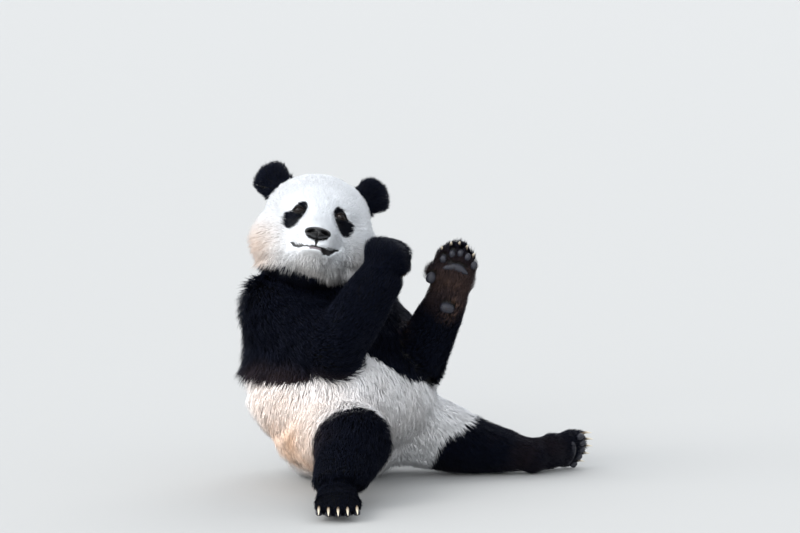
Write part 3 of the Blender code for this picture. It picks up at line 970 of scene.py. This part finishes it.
# Where the mane over the right shoulder and the right flank stands out: places, and their reach.
SHAGGY = (((-0.190, 0.165, 0.555), 0.075), ((-0.195, 0.185, 0.365), 0.085))


def scatter(mesh, crowding, rng):
    """Places spread at random over a mesh, as crowded as the coat is there, and their normals."""
    mesh.calc_loop_triangles()
    corners = np.array([triangle.vertices for triangle in mesh.loop_triangles])
    points, normals = coordinates(mesh)[corners], vertex_normals(mesh)[corners]
    a, b, c = points.transpose(1, 0, 2)
    area = np.linalg.norm(np.cross(b - a, c - a), axis=1) / 2
    room = coat_values((a + b + c) / 3, unit(normals.sum(axis=1)))[1]
    wanted = area / room**2 * crowding
    count = np.floor(wanted + rng.random(len(wanted))).astype(int)
    face = np.repeat(np.arange(len(count)), count)
    u, v = rng.random((2, len(face)))
    over = u + v > 1
    u[over], v[over] = 1 - u[over], 1 - v[over]
    share = np.stack([1 - u - v, u, v], axis=1)
    return [np.einsum("nk,nkd->nd", share, values[face]) for values in (points, normals)]


class Tufts:
    """The roots of a coat, spread over the skin, and all that is known about each."""

    def __init__(self, skin, crowding, seed):
        self.rng = np.random.default_rng(seed)
        roots, normals = scatter(skin.data, crowding, self.rng)
        keep = (bare_places(roots) < 0.5) & ~on_pads(roots)
        self.root, self.normal = roots[keep], unit(normals)[keep]
        self.depth, self.room, self.way, weights = coat_values(self.root, self.normal)
        self.part = weights.argmax(axis=1)
        # How much each tuft belongs to the places where hair differs, from 0 to 1.
        self.head = weights[:, HEAD_ROW]
        local = moved(self.root, TO_HEAD)
        across, ahead, down = np.abs(local[:, 0]), -local[:, 1], -local[:, 2]
        self.cheek = self.head * smoothstep(across, 0.095, 0.150) * smoothstep(down, -0.03, 0.03)
        self.chin = self.head * smoothstep(down, 0.085, 0.115) * smoothstep(ahead, 0.0, 0.06)
        self.ears = weights[:, HEAD_ROW + 1 :].sum(axis=1)
        along_paw = moved(self.root, paw_matrix("forepaw_left").inverted())[:, 2]
        self.digits = weights[:, PART_NAMES.index("forepaw_left")] * smoothstep(along_paw, 0.105, 0.140)
        self.shaggy = sum(near(self.root, place, reach) for place, reach in SHAGGY)
        above, fade = near_mouth(local)
        above -= mouth_gap(local)
        self.lips = fade * bell(above - 0.003, 0.007) * smoothstep(above, -0.003, 0.0)

    def __len__(self):
        return len(self.root)


ROOT_DEPTH = 0.0015  # how far tufts start inside the skin
LEADERS = 0.16  # the share of tufts that others lean towards


def tuft_paths(tufts, settings):
    """Root, bend and tip of every tuft. Neighbours lean together in locks."""
    rng, count = tufts.rng, len(tufts)
    side = np.cross(tufts.normal, tufts.way)
    stray = rng.normal(0, 0.13, count) + 0.15 * ripple(tufts.root, 0.06, 21)
    way = tufts.way * np.cos(stray)[:, None] + side * np.sin(stray)[:, None]
    length = tufts.depth * settings.length_per_depth * rng.uniform(0.80, 1.12, count)
    length *= 1.0 + 0.10 * ripple(tufts.root, 0.040, 22)
    length = np.where(rng.random(count) < 0.04, length * 1.15, length)
    length *= (1.0 + 0.70 * tufts.digits) * (1.0 - 0.62 * tufts.lips) * (1.0 - 0.12 * tufts.ears)
    length *= (1.0 + 0.20 * tufts.shaggy) * (1.0 + 0.15 * tufts.chin)
    short = smoothstep(0.010 - tufts.depth, 0.0, 0.004) * (1 - tufts.ears)
    # How steeply each half of a tuft stands up from the skin, in radians.
    rise_first = rng.normal(0.62, 0.08, count) + 0.12 * tufts.ears + 0.02 * tufts.head - 0.10 * short
    rise_first += 0.30 * tufts.shaggy
    rise_last = rng.normal(0.20, 0.07, count) + 0.10 * tufts.ears + 0.42 * tufts.cheek
    rise_last += 0.40 * tufts.shaggy

    def heading(rise):
        return unit(way * np.cos(rise)[:, None] + tufts.normal * np.sin(rise)[:, None])

    start = tufts.root - tufts.normal * ROOT_DEPTH
    bend = start + heading(rise_first) * (length * 0.5)[:, None]
    last = heading(rise_last)
    last[:, 2] -= 0.08 * (1 - short) * (1 - tufts.ears)
    tip = bend + unit(last) * (length * 0.5)[:, None]
    leaders = np.flatnonzero(rng.random(count) < LEADERS)
    tree = kdtree.KDTree(len(leaders))
    for place, leader in enumerate(leaders):
        tree.insert(tufts.root[leader], place)
    tree.balance()
    nearest = leaders[np.array([tree.find(root)[1] for root in tufts.root])]
    pull = rng.uniform(0.12, 0.36, count) * (1 - 0.4 * tufts.head) * (1 - 0.8 * short)
    pull = pull * (1 - 0.9 * tufts.ears) + (0.40 * tufts.chin + 0.32 * tufts.cheek)
    apart = tufts.root - tufts.root[nearest]
    tip = blend(tip, tip[nearest] + apart * 0.3, pull)
    bend = blend(bend, bend[nearest] + apart * 0.8, pull * 0.4)
    return start, bend, tip


MAP_EDGE, MAP_SIZE = 0.004, 0.989
PATCH_SIZE = 0.003  # of each tuft's patch on the map


def spread_out(places):
    """Stretches places over the whole of the flat map, or over its whole width."""
    low, high = places.min(axis=0), places.max(axis=0)
    return MAP_EDGE + MAP_SIZE * (places - low) / np.maximum(high - low, 1e-9)


def unwrap(roots):
    """Each root's place on a flat map: round its body part's long axis, and along it."""
    from_middle = roots - roots.mean(axis=0)
    axes = np.linalg.svd(from_middle, full_matrices=False)[2]
    x, y, z = from_middle @ axes[1], from_middle @ axes[2], from_middle @ axes[0]
    return spread_out(np.stack([np.arctan2(y, x), z], axis=1))


def spike_faces(rings):
    """The triangles of a closed spike with three corners to a ring, and a tip."""
    faces = [(0, 2, 1)]
    for ring in range(rings - 1):
        for i in range(3):
            a, b = 3 * ring + i, 3 * ring + (i + 1) % 3
            faces += [(a, b, b + 3), (a, b + 3, a + 3)]
    last = 3 * (rings - 1)
    faces += [(last + i, last + (i + 1) % 3, 3 * rings) for i in range(3)]
    return np.array(faces)


# Shares of a tuft's width: how wide it is at its root, and how high its ridge is.
ROOT_SHARE, RIDGE_SHARE = 0.85, 0.55
HAIR_FLOOR = 0.0012  # tufts stay at least this far above the floor


def tuft_mesh(name, paths, width, places, values):
    """Closed three-sided spikes, all in one mesh. A path is each tuft's centres and its tip."""
    *centres, tip = paths
    count, rings = len(tip), len(centres)
    flow = unit(centres[-1] - centres[0]) if rings > 1 else unit(tip - centres[0])
    across = unit(np.cross(flow, values["normal"]))
    top = np.cross(across, flow)
    corners = np.empty((count, 3 * rings + 1, 3))
    share = np.empty(3 * rings + 1)
    patch = np.empty((3 * rings + 1, 2))
    for ring, centre in enumerate(centres):
        size = (width / 2 * (1.0 if ring == rings - 1 else ROOT_SHARE))[:, None]
        corners[:, 3 * ring] = centre - across * size
        corners[:, 3 * ring + 1] = centre + across * size
        corners[:, 3 * ring + 2] = centre + top * size * RIDGE_SHARE
        share[3 * ring : 3 * ring + 3] = ring / rings
        patch[3 * ring : 3 * ring + 3] = [(x, ring / rings) for x in (0.0, 1.0, 0.5)]
    corners[:, -1], share[-1], patch[-1] = tip, 1.0, (0.5, 1.0)
    corners[:, :, 2] = np.maximum(corners[:, :, 2], HAIR_FLOOR + 0.002 * values["tone"][:, None])
    faces = spike_faces(rings)[None] + len(share) * np.arange(count)[:, None, None]
    faces = faces.reshape(-1, 3)
    mesh = triangle_mesh(name, corners.reshape(-1, 3), faces)
    uv = places[:, None, :] + (patch[None] - 0.5) * PATCH_SIZE
    layer = mesh.uv_layers.new(name="OFBake")
    layer.uv.foreach_set("vector", uv.reshape(-1, 2)[faces.ravel()].astype(np.float32).ravel())
    set_values(mesh, "along", np.tile(share, count))
    for key in ("tone", "warm", "soil_and_shade"):
        set_values(mesh, key, np.repeat(values[key], len(share)))
    return link_object(name, mesh)


MOST_TRIANGLES = 195000  # in one piece
FEWEST_TUFTS = 12  # in one piece
SHORT_COAT = 0.0080  # hair on the head that lies less deep than this has straight tufts
BROWN_START = 0.12  # black hair only shows the cream stains above this
# How much of the brown tinge the black hair of a part takes, where that isn't all of it.
BROWN_SHARE = {"head": 0.0, "thigh_right": 0.3, "shank_right": 0.3}


def make_coat(skin, settings, materials):
    """Grows the tufts, and sorts them into pieces by body part, colour and shape."""
    tufts = Tufts(skin, settings.crowding, settings.seed)
    start, bend, tip = tuft_paths(tufts, settings)
    rng = np.random.default_rng(settings.seed + 1)
    width = tufts.room * rng.uniform(0.42, 0.68, len(tufts)) * settings.thickness
    seen = blend(tufts.root, tip, 0.55)  # a tuft shows past its middle, not at its root
    dark = markings(seen + rng.normal(0, 0.0018, (len(tufts), 3))) > 0.5
    warm, soil_and_shade = stains_and_painted_light(tufts.root)
    tone = np.clip(0.5 + 0.20 * rng.normal(size=len(tufts)) + 0.25 * ripple(tufts.root, 0.03, 31), 0, 1)
    straight = tufts.depth + rng.normal(0, 0.0012, len(tufts)) < SHORT_COAT
    straight &= tufts.part == HEAD_ROW
    for (index, part), colour, shape in product(enumerate(PART_NAMES), materials, ("short", "long")):
        chosen = (tufts.part == index) & (dark == (colour == "black"))
        members = np.flatnonzero(chosen & (straight == (shape == "short")))
        if len(members) < FEWEST_TUFTS:
            continue
        paths = [start, tip] if shape == "short" else [start, bend, tip]
        places = unwrap(tufts.root[members])
        order = np.argsort(places[:, 0], kind="stable")
        triangles = len(members) * len(spike_faces(len(paths) - 1))
        groups = np.array_split(order, math.ceil(triangles / MOST_TRIANGLES))
        for number, group in enumerate(groups, 1):
            rows, place = members[group], places[group]
            place[:, 0] = spread_out(place[:, 0])
            stain = warm[rows]
            if colour == "black":
                brown = np.clip((stain - BROWN_START) / (1 - BROWN_START), 0, 1)
                stain = brown * BROWN_SHARE.get(part, 1.0)
            values = {"tone": tone[rows], "warm": stain, "soil_and_shade": soil_and_shade[rows], "normal": tufts.normal[rows]}
            name = f"coat_{part}_{colour}_{shape}_{number}"
            piece = tuft_mesh(name, [path[rows] for path in paths], width[rows], place, values)
            settle(piece, materials[colour], colour + "_fur")


# Eyes, nose, pads and claws


def make_eye(side_name, material):
    """An eyeball whose cornea bulges a little in front."""
    centre, gaze, _, _ = eye_frame(SIDES[side_name])
    eye = new_ball("eyeball_" + side_name, 48, 32, EYE_RADIUS)
    points = coordinates(eye.data)
    points[:, 2] += smoothstep(points[:, 2] / EYE_RADIUS, 0.72, 1.0) * 0.0009
    rim = np.degrees(np.arccos(np.clip(unit(points)[:, 2], -1, 1))) / 90.0
    set_coordinates(eye.data, points)
    set_values(eye.data, "rim", rim)
    turn = Vector(gaze).to_track_quat("Z", "Y").to_matrix().to_4x4()
    settle(eye, material, "eye", "eye_" + side_name, place=HEAD @ Matrix.Translation(centre) @ turn)


def make_nose(material):
    """A broad pad, flat on top, with two comma-shaped nostrils and a groove down the middle."""
    nose = new_ball("nose_pad", 96, 64)
    x, y, z = coordinates(nose.data).T
    wide = 0.0360 * (1.0 - 0.42 * smoothstep(-z, 0.0, 1.0)) * (1.0 - 0.06 * smoothstep(z, 0.3, 1.0))
    shape = np.stack([x * wide, y * 0.0225, z * np.where(z < 0, 0.0135, 0.0180)], axis=1)
    shape[:, 2] += 0.0030 * x**2 * (z > 0)
    front = smoothstep(-y, 0.1, 0.6)
    # How deep into a nostril each point is, for the painted shade there.
    painted_nostril_shade = np.zeros(len(x))
    for side in SIDES.values():
        v = z - 0.02
        u = side * x - 0.47 + 0.35 * v
        hole = bell(u, 0.24) * bell(v, 0.28)
        slit = bell(side * x - 0.72, 0.20) * bell(z + 0.12, 0.11)
        rim = np.exp(-((np.hypot(u / 0.24, v / 0.28) - 1.45) ** 2) / 0.10)
        shape[:, 1] += front * (0.0150 * hole + 0.0080 * slit - 0.0013 * rim)
        painted_nostril_shade = np.maximum(painted_nostril_shade, smoothstep(front * (hole + 0.6 * slit), 0.35, 0.75))
    shape[:, 1] += front * 0.0035 * bell(x, 0.055) * smoothstep(-z, -0.25, 0.2)
    set_coordinates(nose.data, shape)
    set_values(nose.data, "painted_nostril_shade", painted_nostril_shade)
    place = HEAD @ Matrix.Translation(NOSE_CENTRE) @ turn_by(NOSE_TILT, "X")
    settle(nose, material, "bare_skin", "nose", place=place)


# Pads in each paw's own frame: the centre and three radii, the sole facing -Y.
SPREADS = (-2, -1, 0, 1, 2)
FOREPAW_PADS = [
    ((0.0105 + 0.0215 * s, -0.0175, 0.1390 - 0.0062 * s * s), (0.0096, 0.0105, 0.0116)) for s in SPREADS
]
FOREPAW_PADS += [
    ((-0.0550, -0.0255, 0.0560), (0.0135, 0.0105, 0.0160)),
    ((0.0060, -0.0225, 0.0980), (0.0370, 0.0070, 0.0110)),
    ((0.0055, -0.0400, -0.0150), (0.0215, 0.0125, 0.0150)),
]
HINDFOOT_PADS = [
    ((0.0245 * s, -0.0250, 0.1600 - 0.0040 * s * s), (0.0098, 0.0088, 0.0118)) for s in SPREADS
]
HINDFOOT_PADS += [((0.0, -0.0320, 0.1230), (0.0440, 0.0070, 0.0100))]
PADS = {
    "forepaw_left": FOREPAW_PADS,
    "hindfoot_left": HINDFOOT_PADS,
    "hindfoot_right": HINDFOOT_PADS,
}


def on_pads(points):
    """Whether points lie where a paw pad is, and so grow no hair."""
    found = np.zeros(len(points), bool)
    for paw, pads in PADS.items():
        local = moved(points, paw_matrix(paw).inverted())
        for centre, radii in pads:
            offset = (local - np.array(centre)) / (np.array(radii) * (0.95, 2.0, 0.95))
            found |= np.linalg.norm(offset, axis=1) < 1.0
    return found


def make_pads(paw, material):
    """Balls that are a little flattened and uneven, one for each pad."""
    balls = []
    for number, (centre, radii) in enumerate(PADS[paw]):
        ball = new_ball("pads_" + paw, 24, 16)
        shape = coordinates(ball.data)
        shape[:, 1] = np.sign(shape[:, 1]) * np.abs(shape[:, 1]) ** 0.85
        shape *= 1 + 0.05 * ripple(shape + number, 1.4, 41)[:, None]
        if radii[0] > 0.03:  # the bar under the toes is arched
            shape[:, 2] -= 0.9 * shape[:, 0] ** 2
        set_coordinates(ball.data, shape * np.array(radii) + np.array(centre))
        balls.append(ball)
    settle(join(balls, "pads_" + paw), material, "bare_skin", place=paw_matrix(paw))


def claw_roots(paw):
    """Where each claw of a paw starts, the way it points, and the way its back faces."""
    rows = []
    for spread in SPREADS:
        if paw == "forepaw_left":
            root = (0.002 + 0.0215 * spread, -0.006, 0.1580 - 0.0058 * spread**2)
            ahead = (math.sin(math.radians(10.0 * spread)) * 0.5, -0.75, 1.0)
            rows.append((root, ahead, (0.0, 1.0, 0.0)))
        elif paw == "forepaw_right":
            root = (0.019125 * spread, -0.054, 0.036 - 0.003 * spread**2)
            rows.append((root, (0.0, 0.35, -1.0), (0.0, -1.0, 0.0)))
        else:
            root = (0.0245 * spread, -0.010, 0.174 - 0.0040 * spread**2)
            rows.append((root, (0.03 * spread, 0.05, 1.0), (0.0, 1.0, 0.0)))
    return rows


CLAW_LENGTH, CLAW_RADIUS = 0.034, 0.0066
# Shares of its length that a claw starts inside the toe and hooks down, and of its height across.
CLAW_INSIDE, CLAW_HOOK, CLAW_WIDTH = 0.15, 0.42, 0.72


def make_claws(paw, material):
    """Curved, tapering claws, oval in section, that start inside the toes."""
    cone = {"vertices": 12, "radius1": 1.0, "radius2": 0.12, "depth": 1.0, "location": (0, 0, 0.5)}
    cuts = [{"plane_co": (0, 0, z), "plane_no": (0, 0, 1)} for z in (0.25, 0.4, 0.55, 0.7, 0.85)]
    claws = []
    for root, ahead, back in claw_roots(paw):
        bpy.ops.mesh.primitive_cone_add(**cone)
        claw = bpy.context.active_object
        use_only(claw)
        bpy.ops.object.transform_apply(location=True)
        edit_all(claw, bpy.ops.mesh.bisect, *cuts)
        x, y, z = coordinates(claw.data).T
        thick = (1.0 - 0.15 * z) / np.maximum(1.0 - 0.88 * z, 0.12) * (1.0 - z**2.2 * 0.92)
        x, y = x * thick * CLAW_RADIUS * CLAW_WIDTH, y * thick * CLAW_RADIUS
        y += CLAW_HOOK * CLAW_LENGTH * np.clip(z, 0, 1) ** 2
        set_coordinates(claw.data, np.stack([x, y, (z - CLAW_INSIDE) * CLAW_LENGTH], axis=1))
        set_values(claw.data, "along", smoothstep(z, 0.25, 0.9))
        claw.data.transform(paw_matrix(paw) @ Matrix.Translation(root) @ facing(ahead, back))
        claws.append(claw)
    claws = join(claws, "claws_" + paw)
    edit_all(claws, bpy.ops.mesh.normals_make_consistent, {"inside": False})
    settle(claws, material, "claw")


# Add-on


def settings_of(name):
    return getattr(bpy.context.scene, name)


class PandaSkinSettings(bpy.types.PropertyGroup):
    first_grid: FloatProperty(
        name="First grid", description="Grid that fuses the body parts", default=0.006, unit="LENGTH"
    )
    second_grid: FloatProperty(
        name="Second grid", description="Grid of the finished skin", default=0.0062, unit="LENGTH"
    )
    depth_share: FloatProperty(
        name="Coat depth", description="Skin depth as a share of the coat's", default=1.0
    )


class PandaCoatSettings(bpy.types.PropertyGroup):
    crowding: FloatProperty(name="Crowding", description="Tufts per tuft's room", default=1.07)
    length_per_depth: FloatProperty(
        name="Length", description="Tuft length for each metre of coat depth", default=2.5
    )
    thickness: FloatProperty(name="Thickness", description="Tuft thickness share", default=1.0)
    seed: IntProperty(name="Seed", description="Start of the random draws", default=7)


class PandaColourSettings(bpy.types.PropertyGroup):
    white_hair: StringProperty(
        name="White hair", description="sRGB hex colour of white hair tips", default="#F4F8FC"
    )
    stained_hair: StringProperty(
        name="Stained hair", description="sRGB hex colour of stained white hair", default="#EAC6A8"
    )
    # The black tips' faint blue is partly a painted sheen.
    black_hair: StringProperty(
        name="Black hair", description="sRGB hex colour of black hair tips", default="#08090E"
    )


class PandaStageSettings(bpy.types.PropertyGroup):
    camera_distance: FloatProperty(
        name="Camera distance", description="From the aim point", default=8.0, unit="LENGTH"
    )
    camera_aim: FloatVectorProperty(
        name="Camera aim", description="Point looked at", default=(0.110, -0.099, 0.601), unit="LENGTH"
    )
    camera_azimuth: FloatProperty(
        name="Azimuth", description="Camera's turn round the panda, in degrees", default=-42.0
    )
    camera_elevation: FloatProperty(
        name="Elevation", description="Camera's rise over the floor, in degrees", default=6.0
    )
    view_width: FloatProperty(
        name="View width", description="Width seen at the aim point", default=2.24, unit="LENGTH"
    )


class PANDA_OT_skin(bpy.types.Operator):
    """Build the skin from the body parts, and colour it"""

    bl_idname = "panda.skin"
    bl_label = "Skin"

    def execute(self, context):
        skin = make_skin(settings_of("panda_skin"))
        points = coordinates(skin.data)
        local = moved(points, TO_HEAD)
        warm, soil_and_shade = stains_and_painted_light(points)
        lips = 1.0 - near_mouth(local)[1] * blend(0.06, 0.01, smoothstep(local[:, 0], -0.02, 0.02))
        bare = smoothstep(bare_places(points), 0.25, 0.5) * lips
        values = {"dark": markings(points), "warm": warm, "soil_and_shade": soil_and_shade, "bare": bare}
        values["lip"] = lower_lip(local)
        for name, value in values.items():
            set_values(skin.data, name, value)
        settle(skin, skin_material(), "white_fur", *FLESH)
        return {"FINISHED"}


class PANDA_OT_eyes(bpy.types.Operator):
    """Build the two eyeballs"""

    bl_idname = "panda.eyes"
    bl_label = "Eyes"

    def execute(self, context):
        material = eye_material()
        for side_name in SIDES:
            make_eye(side_name, material)
        return {"FINISHED"}


class PANDA_OT_nose(bpy.types.Operator):
    """Build the nose pad"""

    bl_idname = "panda.nose"
    bl_label = "Nose"

    def execute(self, context):
        make_nose(nose_material())
        return {"FINISHED"}


class PANDA_OT_pads(bpy.types.Operator):
    """Build the pads of the open forepaw and the hind feet"""

    bl_idname = "panda.pads"
    bl_label = "Pads"

    def execute(self, context):
        material = pad_material()
        for paw in PADS:
            make_pads(paw, material)
        return {"FINISHED"}


class PANDA_OT_claws(bpy.types.Operator):
    """Build the claws of all four paws"""

    bl_idname = "panda.claws"
    bl_label = "Claws"

    def execute(self, context):
        material = claw_material()
        for paw in PAWS:
            make_claws(paw, material)
        return {"FINISHED"}


class PANDA_OT_coat(bpy.types.Operator):
    """Grow the coat of tufts over the skin"""

    bl_idname = "panda.coat"
    bl_label = "Coat"

    def execute(self, context):
        skin = bpy.data.objects.get("panda_skin")
        if skin is None:
            raise RuntimeError("the coat needs the skin first")
        colours = settings_of("panda_colours")
        materials = {"white": white_hair_material(colours), "black": black_hair_material(colours)}
        make_coat(skin, settings_of("panda_coat"), materials)
        return {"FINISHED"}


# Soft daylight: where each sun shines to (right, ahead and up as the camera sees them), its
# strength, the width of its disc in degrees, and its colour.
SUNS = {
    "high_sun": ((1.0, 0.55, -1.0), 1.3, 30.0, (1.0, 0.985, 0.97)),
    "low_sun": ((1.0, 0.30, -0.16), 1.4, 44.0, (1.0, 0.98, 0.96)),
    "front_sun": ((0.30, 1.0, -0.16), 2.0, 50.0, (0.97, 0.99, 1.0)),
    "back_sun": ((-0.5, -1.0, -1.1), 0.7, 40.0, (1.0, 1.0, 1.0)),
}


FLOOR_SIZE = 1600.0  # metres, so that it reaches the horizon
SENSOR_WIDTH = 36.0  # millimetres


def aim(obj, place, heading):
    """Puts a light or a camera in its place, and points it along a heading."""
    obj.location = place
    obj.rotation_euler = heading.to_track_quat("-Z", "Y").to_euler()


def add_light(name, kind, place, heading, **settings):
    light = link_object(name, bpy.data.lights.new(name, kind))
    for key, value in settings.items():
        setattr(light.data, key, value)
    aim(light, place, heading)
    return light


class PANDA_OT_stage(bpy.types.Operator):
    """Set up the pale floor, the soft light and the camera"""

    bl_idname = "panda.stage"
    bl_label = "Stage"

    def execute(self, context):
        settings = settings_of("panda_stage")
        bpy.ops.mesh.primitive_plane_add(size=FLOOR_SIZE)
        floor = context.active_object
        floor.name = floor.data.name = "pale_floor"
        paint = {"Base Color": linear("#B4B4B2"), "Roughness": 0.85}
        floor.data.materials.append(new_material("painted_floor", paint)[0])

        world = bpy.data.worlds.new("open_sky")
        world.use_nodes = True
        background = world.node_tree.nodes["Background"]
        background.inputs["Color"].default_value = linear("#EEF3FA")
        background.inputs["Strength"].default_value = 1.18
        context.scene.world = world

        azimuth = math.radians(settings.camera_azimuth)
        right = Vector((math.cos(azimuth), math.sin(azimuth), 0.0))
        ahead = Vector((-math.sin(azimuth), math.cos(azimuth), 0.0))
        up = Vector((0.0, 0.0, 1.0))
        for name, (way, strength, width, colour) in SUNS.items():
            heading = right * way[0] + ahead * way[1] + up * way[2]
            look = {"energy": strength, "angle": math.radians(width), "color": colour}
            add_light(name, "SUN", up * 3.0, heading, **look)

        # A soft reflector low beside the haunch, which leaves the floor as it is.
        place = -right * 1.35 - ahead * 0.45 + up * 0.06
        heading = Vector((-0.22, -0.05, 0.10)) - place
        look = {"energy": 2.9, "size": 0.5, "spread": math.radians(56.0), "color": (1.0, 0.95, 0.91)}
        reflector = add_light("low_reflector", "AREA", place, heading, **look)
        reflector.visible_camera = False
        unlit = bpy.data.collections.new("unlit_by_reflector")
        unlit.objects.link(floor)
        reflector.light_linking.receiver_collection = unlit
        unlit.collection_objects[0].light_linking.link_state = "EXCLUDE"

        camera = link_object("camera", bpy.data.cameras.new("camera"))
        elevation = math.radians(settings.camera_elevation)
        back = -ahead * math.cos(elevation) + up * math.sin(elevation)
        aim(camera, Vector(settings.camera_aim) + back * settings.camera_distance, -back)
        camera.data.sensor_width = SENSOR_WIDTH
        camera.data.lens = SENSOR_WIDTH * settings.camera_distance / settings.view_width
        context.scene.camera = camera
        context.scene.view_settings.view_transform = "Standard"
        return {"FINISHED"}


class PANDA_PT_panel(bpy.types.Panel):
    """Lists the panda's pieces"""

    bl_label = "Sitting giant panda"
    bl_idname = "PANDA_PT_panel"
    bl_space_type = "VIEW_3D"
    bl_region_type = "UI"
    bl_category = "Panda"

    def draw(self, context):
        for operator in OPERATORS:
            self.layout.operator(operator.bl_idname)
        for name, group in SETTINGS.items():
            for key in group.__annotations__:
                self.layout.prop(getattr(context.scene, name), key)


OPERATORS = (
    PANDA_OT_skin,
    PANDA_OT_eyes,
    PANDA_OT_nose,
    PANDA_OT_pads,
    PANDA_OT_claws,
    PANDA_OT_coat,
    PANDA_OT_stage,
)
SETTINGS = {
    "panda_skin": PandaSkinSettings,
    "panda_coat": PandaCoatSettings,
    "panda_colours": PandaColourSettings,
    "panda_stage": PandaStageSettings,
}


def register():
    for group in (*SETTINGS.values(), *OPERATORS, PANDA_PT_panel):
        bpy.utils.register_class(group)
    for name, group in SETTINGS.items():
        setattr(bpy.types.Scene, name, PointerProperty(type=group))


def unregister():
    for name in SETTINGS:
        delattr(bpy.types.Scene, name)
    for group in (PANDA_PT_panel, *reversed(OPERATORS), *SETTINGS.values()):
        bpy.utils.unregister_class(group)


def main():
    register()
    bpy.ops.panda.skin()
    bpy.ops.panda.eyes()
    bpy.ops.panda.nose()
    bpy.ops.panda.pads()
    bpy.ops.panda.claws()
    bpy.ops.panda.coat()
    bpy.ops.panda.stage()


if __name__ == "__main__":
    main()
